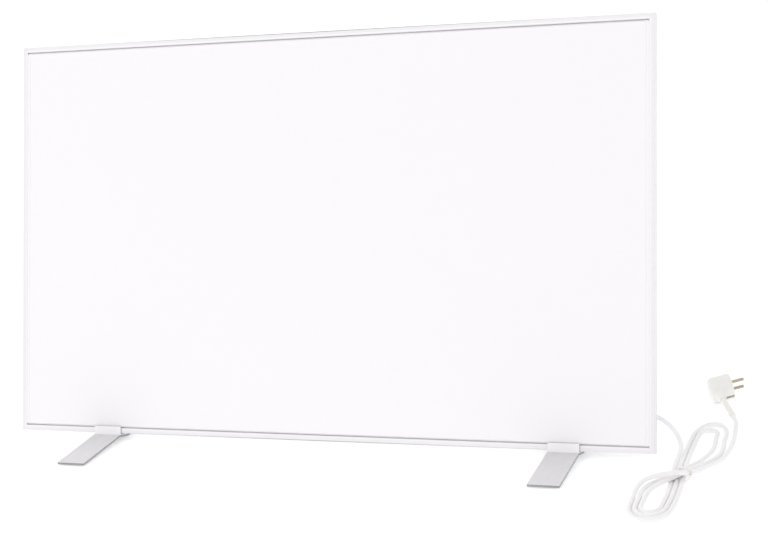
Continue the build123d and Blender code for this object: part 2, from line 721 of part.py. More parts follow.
core_run = (shank_end - block_left - BLOCK_WIDTH) / 3
core_spread = 1.3 * LEAD_DIAMETER
supply_cores = [
    wire(
        [
            (shank_end, GLAND_HEIGHT + step * core_spread, gland_depth),
            (shank_end - core_run, GLAND_HEIGHT + step * core_spread, gland_depth),
            (shank_end - 2 * core_run, OPENING_Y + step * POLE_PITCH, lead_depth),
            (block_left + BLOCK_WIDTH, OPENING_Y + step * POLE_PITCH, lead_depth),
        ],
        LEAD_DIAMETER,
        LEAD_DIAMETER,
    )
    for step in (-1, 0, 1)
]
finish(Compound(children=supply_cores), "supply_cores")

# ================================================================ feet
seat_back = Vector(0, cos(lean), -sin(lean))


def side_plane(x):
    """A plane square to X at this foot: its x runs back through the panel, its y up the panel."""
    return Plane(origin=(x, edge_y, base_z), x_dir=seat_back, z_dir=across)


def seat_point(back, up):
    """A point of the foot's side view, from the panel's lower front edge, as (y, z)."""
    point = Vector(0, edge_y, base_z) + seat_back * back + panel_up * up
    return point.Y, point.Z


def sheet_below(points, thickness):
    """A bent line one sheet thickness below the given one, its corners on the bisectors."""
    steps = [Vector(b[0] - a[0], b[1] - a[1]).normalized() for a, b in zip(points, points[1:])]
    downs = [Vector(step.Y, -step.X) for step in steps]
    lower = []
    for index, (y, z) in enumerate(points):
        before = downs[max(index - 1, 0)]
        after = downs[min(index, len(downs) - 1)]
        shift = (before + after) * (thickness / (1 + before.dot(after)))
        lower.append((y + shift.X, z + shift.Y))
    return lower


plate_top = [
    (-FOOT_LENGTH / 2, sole_top),
    seat_point(-SEAT_FRONT, -seat_drop),
    seat_point(SEAT_REAR, -seat_drop),
    (FOOT_LENGTH / 2, sole_top),
]
plate_sole = sheet_below(plate_top, PLATE_THICKNESS)
plate_sole[0] = (plate_top[0][0], plate_sole[0][1])


def sole_height(y):
    """Height of the front tongue's underside at y."""
    (y0, z0), (y1, z1) = plate_sole[0], plate_sole[1]
    return z0 + (z1 - z0) * (y - y0) / (y1 - y0)


channel_front = -(SLIDE_GAP + LINER_THICKNESS)
channel_back = cover_back + SLIDE_GAP + LINER_THICKNESS
channel_foot = -(SLIDE_GAP + LINER_THICKNESS)
flange_back = channel_back + CLIP_THICKNESS
nut_back = flange_back + CLAMP_NUT_HEIGHT
knob_front = nut_back + KNOB_GAP
clamp_tip = cover_back + CLAMP_TIP_GAP
rivet_seat = (channel_front + channel_back) / 2


def clamp_plane(x, back):
    """A plane square to the clamp screw's axis, its own z to the back."""
    origin = Vector(x, edge_y, base_z) + seat_back * back + panel_up * CLAMP_HEIGHT
    return Plane(origin=origin, x_dir=across, z_dir=seat_back)


def seat_plane(x, up):
    """A plane along the seat, its own z up the panel."""
    origin = Vector(x, edge_y, base_z) + seat_back * rivet_seat + panel_up * up
    return Plane(origin=origin, x_dir=across, z_dir=panel_up)


def make_foot(side, x):
    """All pieces of one foot, centred on x."""
    plate_foot = -(seat_drop + PLATE_THICKNESS)
    with BuildPart() as plate:
        with BuildSketch(Plane.YZ.offset(x)):
            with BuildLine():
                Polyline(*plate_top, *reversed(plate_sole), close=True)
            make_face()
        extrude(amount=FOOT_WIDTH / 2, both=True)
        tips = plate.edges().filter_by(Axis.Z).group_by(Axis.Y)
        fillet(tips[0] + tips[-1], PLATE_CORNER)
        with BuildSketch(seat_plane(x, plate_foot)):
            with GridLocations(RIVET_SPACING, 1, 2, 1):
                Circle(RIVET_RADIUS + SCREW_CLEARANCE)
        extrude(amount=PLATE_THICKNESS, mode=Mode.SUBTRACT)
        with BuildSketch(seat_plane(x, plate_foot)):
            with GridLocations(RIVET_SPACING, 1, 2, 1):
                Circle(RIVET_HEAD + SCREW_CLEARANCE)
        extrude(amount=RIVET_CONE + SCREW_CLEARANCE, taper=45, mode=Mode.SUBTRACT)
    finish(plate.part, "foot_plate_" + side)

    with BuildPart() as clip:
        with BuildSketch(side_plane(x)):
            with BuildLine():
                Polyline(
                    (channel_front - CLIP_THICKNESS, LIP_HEIGHT),
                    (channel_front - CLIP_THICKNESS, channel_foot - CLIP_THICKNESS),
                    (flange_back, channel_foot - CLIP_THICKNESS),
                    (flange_back, REAR_FLANGE_HEIGHT),
                    (channel_back, REAR_FLANGE_HEIGHT),
                    (channel_back, channel_foot),
                    (channel_front, channel_foot),
                    (channel_front, LIP_HEIGHT),
                    close=True,
                )
            make_face()
        extrude(amount=FOOT_WIDTH / 2, both=True)
        with BuildSketch(clamp_plane(x, flange_back)):
            RegularPolygon(CLAMP_NUT_RADIUS, 6)
        extrude(amount=CLAMP_NUT_HEIGHT)
        with BuildSketch(clamp_plane(x, nut_back)):
            Circle(CLAMP_RADIUS + CLAMP_RUNNING_GAP)
        extrude(amount=channel_back - nut_back, mode=Mode.SUBTRACT)
        with BuildSketch(seat_plane(x, channel_foot)):
            with GridLocations(RIVET_SPACING, 1, 2, 1):
                Circle(RIVET_RADIUS + SCREW_CLEARANCE)
        extrude(amount=-CLIP_THICKNESS, mode=Mode.SUBTRACT)
    finish(clip.part, "foot_clip_" + side)

    with BuildPart() as liner:
        with BuildSketch(side_plane(x)):
            with BuildLine():
                Polyline(
                    (channel_front, LIP_HEIGHT - LINER_SHORTFALL),
                    (channel_front, channel_foot),
                    (channel_back, channel_foot),
                    (channel_back, REAR_FLANGE_HEIGHT - LINER_SHORTFALL),
                    (channel_back - LINER_THICKNESS, REAR_FLANGE_HEIGHT - LINER_SHORTFALL),
                    (channel_back - LINER_THICKNESS, channel_foot + LINER_THICKNESS),
                    (channel_front + LINER_THICKNESS, channel_foot + LINER_THICKNESS),
                    (channel_front + LINER_THICKNESS, LIP_HEIGHT - LINER_SHORTFALL),
                    close=True,
                )
            make_face()
        extrude(amount=FOOT_WIDTH / 2, both=True)
        with BuildSketch(clamp_plane(x, channel_back)):
            Circle(CLAMP_RADIUS + 2 * SLIDE_GAP)
        extrude(amount=-LINER_THICKNESS, mode=Mode.SUBTRACT)
    finish(liner.part, "foot_liner_" + side)

    with BuildPart() as rivets:
        with BuildSketch(seat_plane(x, plate_foot)):
            with GridLocations(RIVET_SPACING, 1, 2, 1):
                Circle(RIVET_HEAD)
        extrude(amount=RIVET_CONE, taper=45)
        with BuildSketch(seat_plane(x, plate_foot)):
            with GridLocations(RIVET_SPACING, 1, 2, 1):
                Circle(RIVET_RADIUS)
        extrude(amount=PLATE_THICKNESS + CLIP_THICKNESS)
    finish(rivets.part, "foot_rivets_" + side)

    front_pad = (-FOOT_LENGTH / 2 + PAD_INSET, -FOOT_LENGTH / 2 + PAD_INSET + PAD_LENGTH)
    rear_pads = (
        (FOOT_LENGTH / 2 - PAD_INSET - PAD_LENGTH, FOOT_LENGTH / 2 - PAD_INSET),
        (plate_sole[2][0] + PAD_INSET, plate_sole[2][0] + PAD_INSET + PAD_LENGTH),
    )
    with BuildPart() as pads:
        with BuildSketch(Plane.YZ.offset(x)):
            with BuildLine():
                Polyline(
                    (front_pad[0], 0),
                    (front_pad[1], 0),
                    (front_pad[1], sole_height(front_pad[1])),
                    (front_pad[0], sole_height(front_pad[0])),
                    close=True,
                )
            make_face()
            for start, end in rear_pads:
                with Locations(((start + end) / 2, PAD_THICKNESS / 2)):
                    Rectangle(end - start, PAD_THICKNESS)
        extrude(amount=FOOT_WIDTH / 2 - PAD_SIDE, both=True)
    finish(pads.part, "foot_pads_" + side)

    with BuildPart() as screw:
        with BuildSketch(clamp_plane(x, clamp_tip)):
            Circle(CLAMP_RADIUS)
        extrude(amount=knob_front - clamp_tip)
        with BuildSketch(clamp_plane(x, knob_front)):
            Circle(KNOB_RADIUS)
            with PolarLocations(KNOB_RADIUS, KNOB_FLUTES):
                Circle(FLUTE_RADIUS, mode=Mode.SUBTRACT)
        extrude(amount=KNOB_LENGTH)
    finish(screw.part, "clamp_screw_" + side)


make_foot("left", LEFT_FOOT_INSET - half_width)
make_foot("right", half_width - RIGHT_FOOT_INSET)

# ================================================================ mains lead: free stretches
relief_end = box_right + GLAND_COLLAR + RELIEF_LENGTH
cord_exit = in_panel(relief_end, GLAND_HEIGHT, gland_depth)

heading = radians(PLUG_HEADING)
tilt = radians(PLUG_TILT)
droop = radians(PLUG_DROOP)
pin_axis = Vector(cos(heading) * cos(tilt), sin(heading) * cos(tilt), sin(tilt))
flat_exit = Vector(sin(heading), -cos(heading), 0)
plug_up = pin_axis.cross(flat_exit) * -1
cable_axis = flat_exit * cos(droop) - plug_up * sin(droop)
plug_centre = Vector(half_width + PLUG_X, PLUG_Y, PLUG_HEIGHT)
plug_plane = Plane(origin=plug_centre, x_dir=cable_axis, z_dir=pin_axis)
face_turn = radians(FACE_TURN)
face_x = cable_axis * cos(face_turn) + plug_plane.y_dir * sin(face_turn)
face_plane = Plane(origin=plug_centre + pin_axis * PLUG_FRONT, x_dir=face_x, z_dir=pin_axis)
sleeve_end = plug_centre + cable_axis * SLEEVE_END

floor_height = cord_radius + FLOOR_GAP
tie_inner = cord_radius / cos(radians(TIE_SLANT)) + FLOOR_GAP
lower_band = tie_inner + TIE_THICKNESS + FLOOR_GAP
upper_band = lower_band + BAND_LIFT


def oval_end(end, outward):
    """A loop's end as half an oval of five points: (x, y, z, heading), from its right side."""
    centre_x, centre_y, half_across, half_along = end
    points = []
    for quarter in range(5):
        turn = quarter * pi / 4
        x = centre_x + half_across * cos(turn)
        y = centre_y + outward * half_along * sin(turn)
        ahead = atan2(-half_across * sin(turn), outward * half_along * cos(turn))
        points.append((x, y, floor_height, degrees(ahead)))
    return points


# The strands as (x from the panel's right side, y, z, heading from +Y towards +X).
hank_table = (
    [(33.4, CROSSING_Y + 12, lower_band, 174), (34.6, CROSSING_Y, lower_band, 174)]
    + [(38.4, -133, 4.1, 177), (39.2, -172, floor_height, 181)]
    + oval_end(NEAR_ENDS[0], -1)
    + [(13.7, -176, 5.0, 4), (20.6, -146, 9.4, 25), (50.0, CROSSING_Y, upper_band, 30)]
    + [(66.0, -66, 11.0, 28), (81.0, -22, 7.5, 12), (84.2, 25, 4.2, 0)]
    + oval_end(FAR_ENDS[0], 1)
    + [(34.8, 60, floor_height, 180), (35.5, 15, floor_height, 178), (38.2, -50, 4.1, 176)]
    + [(41.8, CROSSING_Y, lower_band, 174), (46.0, -138, 4.1, 177), (46.6, -180, floor_height, 181)]
    + oval_end(NEAR_ENDS[1], -1)
    + [(6.4, -182, 4.4, 2), (8.4, -157, 8.6, 16), (41.2, CROSSING_Y, upper_band, 30)]
    + [(56.0, -66, 11.2, 23), (69.6, -12, 8.0, 8), (71.4, 38, 4.6, 358)]
    + oval_end(FAR_ENDS[1], 1)
    + [(42.8, 45, floor_height, 179), (45.6, -50, 4.1, 176), (49.1, CROSSING_Y, lower_band, 174)]
    + [(53.5, -140, 4.1, 177), (54.0, -180, 3.5, 180)]
    + oval_end(NEAR_ENDS[2], -1)
    # The last strand climbs over both bands and leaves as the lead's tail.
    + [(-1.1, -186, 4.6, 2), (0.6, -163, 11.6, 12), (10.4, -143, 18.2, 42)]
    + [(27.0, -129.5, 20.6, 54), (43.0, -118.5, 19.6, 52), (56.5, -104, 15.0, 36)]
)


def climb(index):
    """The strand's slope at one of its points: that of its neighbours, level on the floor."""
    x, y, z, heading = hank_table[index]
    before = hank_table[max(index - 1, 0)]
    after = hank_table[min(index + 1, len(hank_table) - 1)]
    if index == 0 or z <= floor_height:
        return 0
    slope = (after[2] - before[2]) / hypot(after[0] - before[0], after[1] - before[1])
    for other in (before, after):
        run = hypot(other[0] - x, other[1] - y)
        if run > 0:
            most = 2 * abs(other[2] - z) / run
            slope = max(-most, min(most, slope))
    return slope


hank_nodes = []
for index, (x, y, z, heading) in enumerate(hank_table):
    way = Vector(sin(radians(heading)), cos(radians(heading)), climb(index)).normalized()
    hank_nodes.append((Vector(half_width + x, y, z), way))


def biarc_corners(start, start_way, end, end_way):
    """Control corners of the two tangent arcs that join two points with given directions."""
    chord = end - start
    ways = start_way + end_way
    bend = 2 * (1 - start_way.dot(end_way))
    reach = chord.dot(ways)
    if bend < 1e-9:
        length = chord.dot(chord) / (2 * reach)
    else:
        length = (-reach + (reach**2 + bend * chord.dot(chord)) ** 0.5) / bend
    return start + start_way * length, end - end_way * length


def arc_through(start, corner, end):
    """The arc that leaves start towards the corner and reaches end coming from it."""
    first = (start - corner).normalized()
    second = (end - corner).normalized()
    half_turn = (pi - acos(max(-1, min(1, first.dot(second))))) / 2
    if half_turn < 1e-4:
        return Line(start, end), []
    reach = (start - corner).length
    radius = reach / tan(half_turn)
    to_centre = (first + second).normalized()
    centre = corner + to_centre * (radius**2 + reach**2) ** 0.5
    top = centre - to_centre * radius
    return ThreePointArc(start, top, end), [radius]


def sample(edge, step):
    """Points along an edge about one step apart."""
    count = max(2, int(edge.length / step))
    return [edge.position_at(index / count) for index in range(count)]


def least_gap(points, diameter, step):
    """Smallest space between stretches of one tube that are not neighbours along it."""
    skip = int(4 * diameter / step)
    least = 1e9
    for index, point in enumerate(points):
        for other in points[index + skip:]:
            distance = (point - other).length
            if distance < least:
                least = distance
    return least - diameter


with BuildPart() as cord_hank:
    with BuildLine() as hank_path:
        hank_radii = []
        for (start, way), (end, end_way) in zip(hank_nodes, hank_nodes[1:]):
            near_corner, far_corner = biarc_corners(start, way, end, end_way)
            joint = (near_corner + far_corner) / 2
            for piece in ((start, near_corner, joint), (joint, far_corner, end)):
                hank_radii += arc_through(*piece)[1]
    hank_wire = hank_path.wires()[0]
    with BuildSketch(Plane(origin=hank_nodes[0][0], z_dir=hank_nodes[0][1])):
        Circle(cord_radius)
    sweep(path=hank_wire)
finish(cord_hank.part, "cord_hank")
hank_points = [point for edge in hank_wire.edges() for point in sample(edge, SAMPLE_STEP)]
hank_length = hank_wire.length
cord_section = pi * cord_radius**2
print("hank: length %.1f, tightest fold %.1f, least gap %.2f" % (
    hank_length, min(hank_radii), least_gap(hank_points, CORD_DIAMETER, SAMPLE_STEP)))
print("hank: volume over section times length %.4f" % (cord_hank.part.volume / (cord_section * hank_length)))


def corner_radii(points):
    """The largest arc that each corner's two runs allow."""
    radii = []
    for before, corner, after in zip(points, points[1:], points[2:]):
        one = corner - before
        two = after - corner
        half_turn = radians(one.get_angle(two)) / 2
        radii.append(0.45 * min(one.length, two.length) / tan(half_turn))
    return radii


def free_cord(label, points):
    """One loose stretch of the lead as straight runs joined by arcs."""
    radii = corner_radii(points)
    with BuildPart() as tube:
        with BuildLine() as path:
            FilletPolyline(*points, radius=radii)
        route = path.wires()[0]
        with BuildSketch(Plane(origin=points[0], z_dir=points[1] - points[0])):
            Circle(cord_radius)
        sweep(path=route)
    runs = [(b - a).length for a, b in zip(points, points[1:])]
    print(label, "runs", [round(run, 1) for run in runs], "radii", [round(radius) for radius in radii])
    print(label, "length %.1f, volume over section times length %.4f" % (
        route.length, tube.part.volume / (cord_section * route.length)))
    finish(tube.part, label)
    return route.length


hank_start, start_way = hank_nodes[0]
hank_end, end_way = hank_nodes[-1]
lead_points = [cord_exit, cord_exit + across * LEVEL_RUN]
lead_points += [Vector(half_width + x, y, z) for x, y, z in LEAD_ROUTE]
lead_points += [hank_start - start_way * LEVEL_RUN, hank_start]
tail_points = [hank_end, hank_end + end_way * LEVEL_RUN]
tail_points += [Vector(half_width + x, y, z) for x, y, z in TAIL_ROUTE]
tail_points += [sleeve_end + cable_axis * SLEEVE_RUN, sleeve_end]
lead_length = free_cord("cord_lead", lead_points)
tail_length = free_cord("cord_tail", tail_points)
print("whole lead %.1f" % (lead_length + hank_length + tail_length))

# A flat tie drawn round the crossing: the outline of the strands that go through it.
tie_turn = radians(TIE_HEADING)
tie_centre = Vector(half_width + TIE_X, TIE_Y, 0)
tie_way = Vector(sin(tie_turn), cos(tie_turn), 0)
tie_side = Vector(cos(tie_turn), -sin(tie_turn), 0)
tie_plane = Plane(origin=tie_centre, x_dir=tie_side, z_dir=tie_way * -1)
tie_strands = []
for point in hank_points:
    offset = point - tie_centre
    near_plane = abs(offset.dot(tie_way)) < TIE_WIDTH / 2 + SAMPLE_STEP
    if near_plane and abs(offset.dot(tie_side)) < TIE_REACH:
        tie_strands.append((offset.dot(tie_side), point.Z))
with BuildPart() as cord_tie:
    with BuildSketch(tie_plane):
        with Locations(tie_strands):
            Circle(tie_inner + TIE_THICKNESS)
        make_hull()
    extrude(amount=TIE_WIDTH / 2, both=True)
    with BuildSketch(tie_plane):
        with Locations(tie_strands):
            Circle(tie_inner)
        make_hull()
    extrude(amount=TIE_WIDTH / 2, both=True, mode=Mode.SUBTRACT)
finish(cord_tie.part, "cord_tie")

# ================================================================ plug
groove_floor = PLUG_RADIUS - GROOVE_DEPTH
with BuildPart() as plug_body:
    with BuildSketch(plug_plane.offset(-PLUG_BACK)):
        Circle(PLUG_RADIUS)
    extrude(amount=PLUG_BACK + PLUG_FRONT)
    back_rim = plug_body.edges().sort_by(Axis(plug_centre, pin_axis))[0]
    fillet(back_rim, PLUG_BACK_FILLET)
    front_rim = plug_body.edges().sort_by(Axis(plug_centre, pin_axis))[-1]
    fillet(front_rim, PLUG_EDGE_FILLET)
    neck_plane = Plane(origin=plug_centre, x_dir=plug_plane.y_dir, z_dir=cable_axis)
    with BuildSketch(neck_plane.offset(NECK_START)):
        RectangleRounded(NECK_WIDTH, NECK_DEPTH, NECK_DEPTH / 2 - PLUG_EDGE_FILLET)
    with BuildSketch(neck_plane.offset(NECK_END)):
        Circle(NECK_TIP_RADIUS)
    loft()
    with BuildSketch(face_plane):
        with Locations((PLUG_RADIUS, 0), (-PLUG_RADIUS, 0)):
            Rectangle(2 * GROOVE_DEPTH, GROOVE_WIDTH)
    extrude(amount=-(EARTH_STRIP_LENGTH + PLUG_EDGE_FILLET), mode=Mode.SUBTRACT)
finish(plug_body.part, "plug_body")

with BuildPart() as plug_pins:
    with BuildSketch(face_plane):
        with Locations((0, -PIN_SPACING / 2), (0, PIN_SPACING / 2)):
            Circle(PIN_RADIUS)
    extrude(amount=PIN_LENGTH)
    pin_tips = plug_pins.faces().group_by(Axis(plug_centre, pin_axis))[-1]
    fillet(pin_tips.edges(), PIN_ROUNDING)
finish(plug_pins.part, "plug_pins")

with BuildPart() as plug_earth_strips:
    with BuildSketch(face_plane):
        with Locations(
            (groove_floor + EARTH_STRIP_THICKNESS / 2, 0),
            (-groove_floor - EARTH_STRIP_THICKNESS / 2, 0),
        ):
            Rectangle(EARTH_STRIP_THICKNESS, EARTH_STRIP_WIDTH)
    extrude(amount=-EARTH_STRIP_LENGTH)
finish(plug_earth_strips.part, "plug_earth_strips")

with BuildPart() as plug_sleeve:
    with BuildSketch(neck_plane.offset(NECK_END)):
        Circle(SLEEVE_ROOT)
    with BuildSketch(neck_plane.offset(SLEEVE_END)):
        Circle(SLEEVE_TIP)
    loft()
finish(plug_sleeve.part, "plug_sleeve")
for piece in (plug_body, plug_sleeve, cord_tie, cord_hank):
    box = piece.part.bounding_box()
    print(piece.part.label, "lowest %.2f highest %.2f" % (box.min.Z, box.max.Z))
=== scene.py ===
# %% [markdown]
# # An infrared panel heater on two sliding feet
#
# The object is a flat white heating panel in a slim frame. It leans back a little on two
# bent metal feet, and its lead lies beside it, tied in a loose figure of eight, with an
# angled plug at the end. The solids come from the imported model, which stays as it is. This
# script gives them their finishes, and adds the pieces whose form or edges matter in a
# close picture: the frame, the emitter's front, the lead, its tie and its sleeve.

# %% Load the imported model
import json
import math

import bmesh
import bpy
import numpy as np
from mathutils import Matrix, Vector


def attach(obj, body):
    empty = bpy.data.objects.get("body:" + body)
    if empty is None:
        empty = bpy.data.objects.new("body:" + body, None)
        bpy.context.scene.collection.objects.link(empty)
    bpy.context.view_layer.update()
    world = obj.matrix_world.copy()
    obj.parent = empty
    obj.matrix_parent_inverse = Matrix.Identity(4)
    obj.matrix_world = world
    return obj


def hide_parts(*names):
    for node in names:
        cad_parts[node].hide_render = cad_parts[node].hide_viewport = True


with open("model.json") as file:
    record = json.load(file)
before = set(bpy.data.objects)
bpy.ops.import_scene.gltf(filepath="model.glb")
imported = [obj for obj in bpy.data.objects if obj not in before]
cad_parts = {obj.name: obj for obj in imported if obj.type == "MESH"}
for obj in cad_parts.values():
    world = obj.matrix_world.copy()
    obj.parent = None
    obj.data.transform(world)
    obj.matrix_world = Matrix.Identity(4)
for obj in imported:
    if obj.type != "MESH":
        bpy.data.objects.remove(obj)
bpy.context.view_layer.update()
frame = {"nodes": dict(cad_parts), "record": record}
nodes = frame["nodes"]

# %% [markdown]
# ## The camera
#
# The picture was taken from the front right and from above, with a long lens, and the camera
# was turned a little about its own axis. The place and the three directions below were fitted
# to the corners of the panel, so the camera needs no shift.

# %% Camera
CAMERA_PLACE = Vector((0.9429, -2.1190, 0.7764))
LOOK = Vector((-0.3535, 0.9090, -0.2207)).normalized()
CAMERA_UP = Vector((0.0008, 0.2363, 0.9717))
FOCAL_LENGTH = 76.894
SENSOR_WIDTH = 36.0

side_way = LOOK.cross(CAMERA_UP).normalized()
up_way = side_way.cross(LOOK)
camera_data = bpy.data.cameras.new("view")
camera_data.lens = FOCAL_LENGTH
camera_data.sensor_width = SENSOR_WIDTH
camera_data.clip_start = 0.05
camera_data.clip_end = 60.0
camera = bpy.data.objects.new("view", camera_data)
bpy.context.scene.collection.objects.link(camera)
turn = Matrix((side_way, up_way, -LOOK)).transposed()
camera.matrix_world = Matrix.Translation(CAMERA_PLACE) @ turn.to_4x4()
bpy.context.scene.camera = camera
print("camera looks along", [round(v, 4) for v in LOOK])

# %% [markdown]
# ## The lead's line
#
# A mains lead is one smooth line. It leaves the gland behind the panel, bends down to the
# floor, runs through the hank and comes out of the tie towards the plug. A curve object with
# one NURBS spline keeps that smoothness from a list of control points. The list
# is the route of the solid lead, in millimetres. Its two loops are moved in towards the tie by
# up to a centimetre, where the picture shows them, and the rest lies in the tube it replaces.

# %% Lead's control points
MM = 0.001
CORD_DIAMETER = 6.5 * MM
LEAD_POINTS = [
    (470.0, 10.5, 55.2), (484.0, 10.5, 55.2), (501.5, 10.0, 50.5), (516.0, 8.5, 39.5),
    (527.0, 5.5, 25.5), (532.2, -4.5, 12.2), (529.9, -24.0, 6.2), (530.4, -48.0, 4.8),
    (531.9, -70.1, 4.4),
]
HANK_POINTS = [
    (533.7, -87.0, 4.4), (534.3, -93.0, 4.4), (535.6, -105.3, 4.4), (537.9, -123.7, 4.2),
    (538.9, -142.3, 4.0), (539.6, -160.1, 3.3), (539.5, -176.1, 3.3), (539.6, -190.8, 3.3),
    (539.7, -201.6, 3.3), (538.1, -208.1, 3.3), (534.5, -213.2, 3.3), (530.0, -216.4, 3.3),
    (524.2, -216.3, 3.3), (519.6, -213.0, 3.3), (515.9, -207.8, 3.3), (514.2, -201.1, 3.3),
    (514.0, -191.1, 3.3), (513.8, -178.0, 4.2), (514.5, -164.7, 5.8), (517.5, -151.5, 8.8),
    (526.7, -132.8, 10.5), (542.7, -108.6, 11.7), (554.3, -88.6, 12.1), (562.0, -73.5, 11.5),
    (571.5, -55.8, 10.4), (578.4, -34.5, 8.4), (583.0, -13.4, 6.6), (583.4, 7.9, 4.6),
    (583.0, 31.6, 3.7), (579.2, 58.2, 3.3), (579.1, 82.0, 3.3), (576.2, 101.7, 3.3),
    (570.0, 116.7, 3.3), (562.6, 127.0, 3.3), (550.0, 127.0, 3.3), (542.6, 116.7, 3.3),
    (536.4, 101.7, 3.3), (533.5, 82.0, 3.3), (533.6, 67.0, 3.3), (533.5, 56.6, 3.3),
    (533.6, 41.0, 3.3), (534.3, 20.6, 3.3), (535.7, -4.3, 3.3), (537.0, -34.4, 3.9),
    (539.0, -61.5, 4.2), (540.6, -84.5, 4.4), (542.9, -106.5, 4.4), (545.4, -127.5, 4.2),
    (546.6, -147.8, 4.0), (547.1, -166.7, 3.3), (547.0, -181.5, 3.3), (546.8, -192.8, 3.3),
    (546.9, -204.3, 3.3), (544.4, -215.7, 3.3), (538.9, -224.9, 3.3), (531.8, -231.0, 3.3),
    (522.4, -231.0, 3.3), (515.3, -224.8, 3.3), (509.7, -215.3, 3.3), (507.0, -203.5, 3.3),
    (506.9, -192.2, 3.3), (506.8, -181.7, 3.9), (507.1, -171.0, 5.0), (506.9, -160.2, 8.1),
    (513.3, -139.7, 10.0), (532.5, -111.1, 11.5), (545.4, -88.7, 12.2), (552.7, -73.7, 11.6),
    (561.5, -53.2, 10.6), (567.5, -27.3, 8.9), (570.7, -3.4, 7.2), (570.9, 19.2, 5.2),
    (569.6, 43.3, 4.0), (566.3, 69.3, 3.3), (566.3, 86.4, 3.3), (564.6, 92.9, 3.3),
    (561.1, 98.0, 3.3), (556.6, 101.0, 3.3), (551.2, 101.0, 3.3), (546.7, 98.0, 3.3),
    (543.2, 92.9, 3.3), (541.5, 86.4, 3.3), (541.5, 71.2, 3.3), (541.3, 48.5, 3.3),
    (542.4, 15.9, 3.3), (543.7, -27.4, 3.9), (546.4, -61.5, 4.2), (547.9, -84.5, 4.4),
    (550.3, -107.0, 4.4), (552.9, -129.0, 4.2), (554.1, -149.3, 4.0), (554.3, -167.3, 3.6),
    (554.5, -181.7, 3.4), (554.4, -193.0, 3.3), (554.5, -206.7, 3.3), (551.1, -222.8, 3.3),
    (543.5, -235.9, 3.3), (533.8, -244.5, 3.3), (520.8, -244.5, 3.3), (511.1, -235.9, 3.3),
    (503.5, -222.5, 3.3), (499.8, -205.7, 3.3), (499.7, -193.0, 3.3), (499.4, -184.1, 4.0),
    (499.6, -174.6, 5.4), (499.8, -164.8, 9.8), (502.0, -155.0, 13.3), (506.6, -146.0, 17.0),
    (514.0, -138.6, 19.3), (522.6, -132.6, 20.4), (530.9, -126.6, 20.8), (539.2, -121.5, 20.1),
    (547.0, -115.4, 19.1), (553.6, -108.0, 16.2),
]
TAIL_POINTS = [
    (564.5, -93.0, 11.8), (579.5, -60.0, 10.2), (588.4, -28.0, 6.4), (592.2, 6.0, 3.6),
    (592.8, 42.0, 3.3), (591.2, 78.0, 3.3), (587.6, 112.0, 3.4), (584.9, 136.7, 4.1),
    (577.1, 154.9, 6.9),
]
cord_points = np.array(LEAD_POINTS + HANK_POINTS + TAIL_POINTS) * MM
print("control points", len(cord_points))

# %% [markdown]
# The points go into one spline of order 3 that starts and ends on its end points. A round
# section is carried along it, and both ends are closed.

# %% The lead as a curve
LINE_STEPS = 8
SECTION_STEPS = 7


def smooth_line(name, points, radius):
    """A curve with one open NURBS spline of order 3 over a list of control points. The first
    and last points are its ends. Its round section is a bevel of 1 m, times each point's own
    radius, because Blender widens a curve's box by the points' radius as well."""
    curve = bpy.data.curves.new(name, "CURVE")
    curve.dimensions = "3D"
    spline = curve.splines.new("NURBS")
    spline.points.add(len(points) - 1)
    spline.points.foreach_set("co", np.column_stack([points, np.ones(len(points))]).ravel())
    spline.points.foreach_set("radius", np.full(len(points), radius))
    spline.order_u = 3
    spline.use_endpoint_u = True
    spline.resolution_u = LINE_STEPS
    curve.bevel_depth = 1.0
    curve.bevel_resolution = SECTION_STEPS
    curve.use_fill_caps = True
    piece = bpy.data.objects.new(name, curve)
    bpy.context.scene.collection.objects.link(piece)
    return piece


cord = smooth_line("mains_lead", cord_points, CORD_DIAMETER / 2)
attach(cord, "panel")
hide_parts("cord_lead", "cord_hank", "cord_tail")

# %% [markdown]
# ## The studio
#
# The picture is a pale object on a white ground without hard shadows, so the light comes from
# everywhere. A sky that brightens towards the top gives most of it, so that the round tops of
# the lead are lighter than its sides. It is also brighter on the left, and a large soft lamp
# hangs there, so the faces that look left are a little lighter than those that look right.
# The floor is pale and gives a little light of its own, so that it stays near white right up
# to the object. All of these strengths were set by reading the same spots in the render and
# in the picture.

# %% Floor, sky and lamps
FLOOR_SIZE = 30.0
SKY_STRENGTH = 0.77
SKY_TILT = 0.13
SKY_RISE = 0.34
FLOOR_GLOW = 0.25
FLOOR_DROP = 0.0002
FLOOR_TONE = (0.95, 0.95, 0.955, 1.0)
WHITE = (1.0, 1.0, 1.0, 1.0)
LAMP_PLACE = (-2.6, -1.6, 3.0)
LAMP_TARGET = (0.0, 0.0, 0.3)
LAMP_SIZE = 2.5
LAMP_POWER = 8.0


def math_node(tree, operation, first, second=None):
    """A Math node whose inputs are sockets or numbers, and its result."""
    node = tree.nodes.new("ShaderNodeMath")
    node.operation = operation
    for index, value in enumerate((first, second)):
        if value is None:
            continue
        if isinstance(value, (int, float)):
            node.inputs[index].default_value = value
        else:
            tree.links.new(value, node.inputs[index])
    return node.outputs[0]


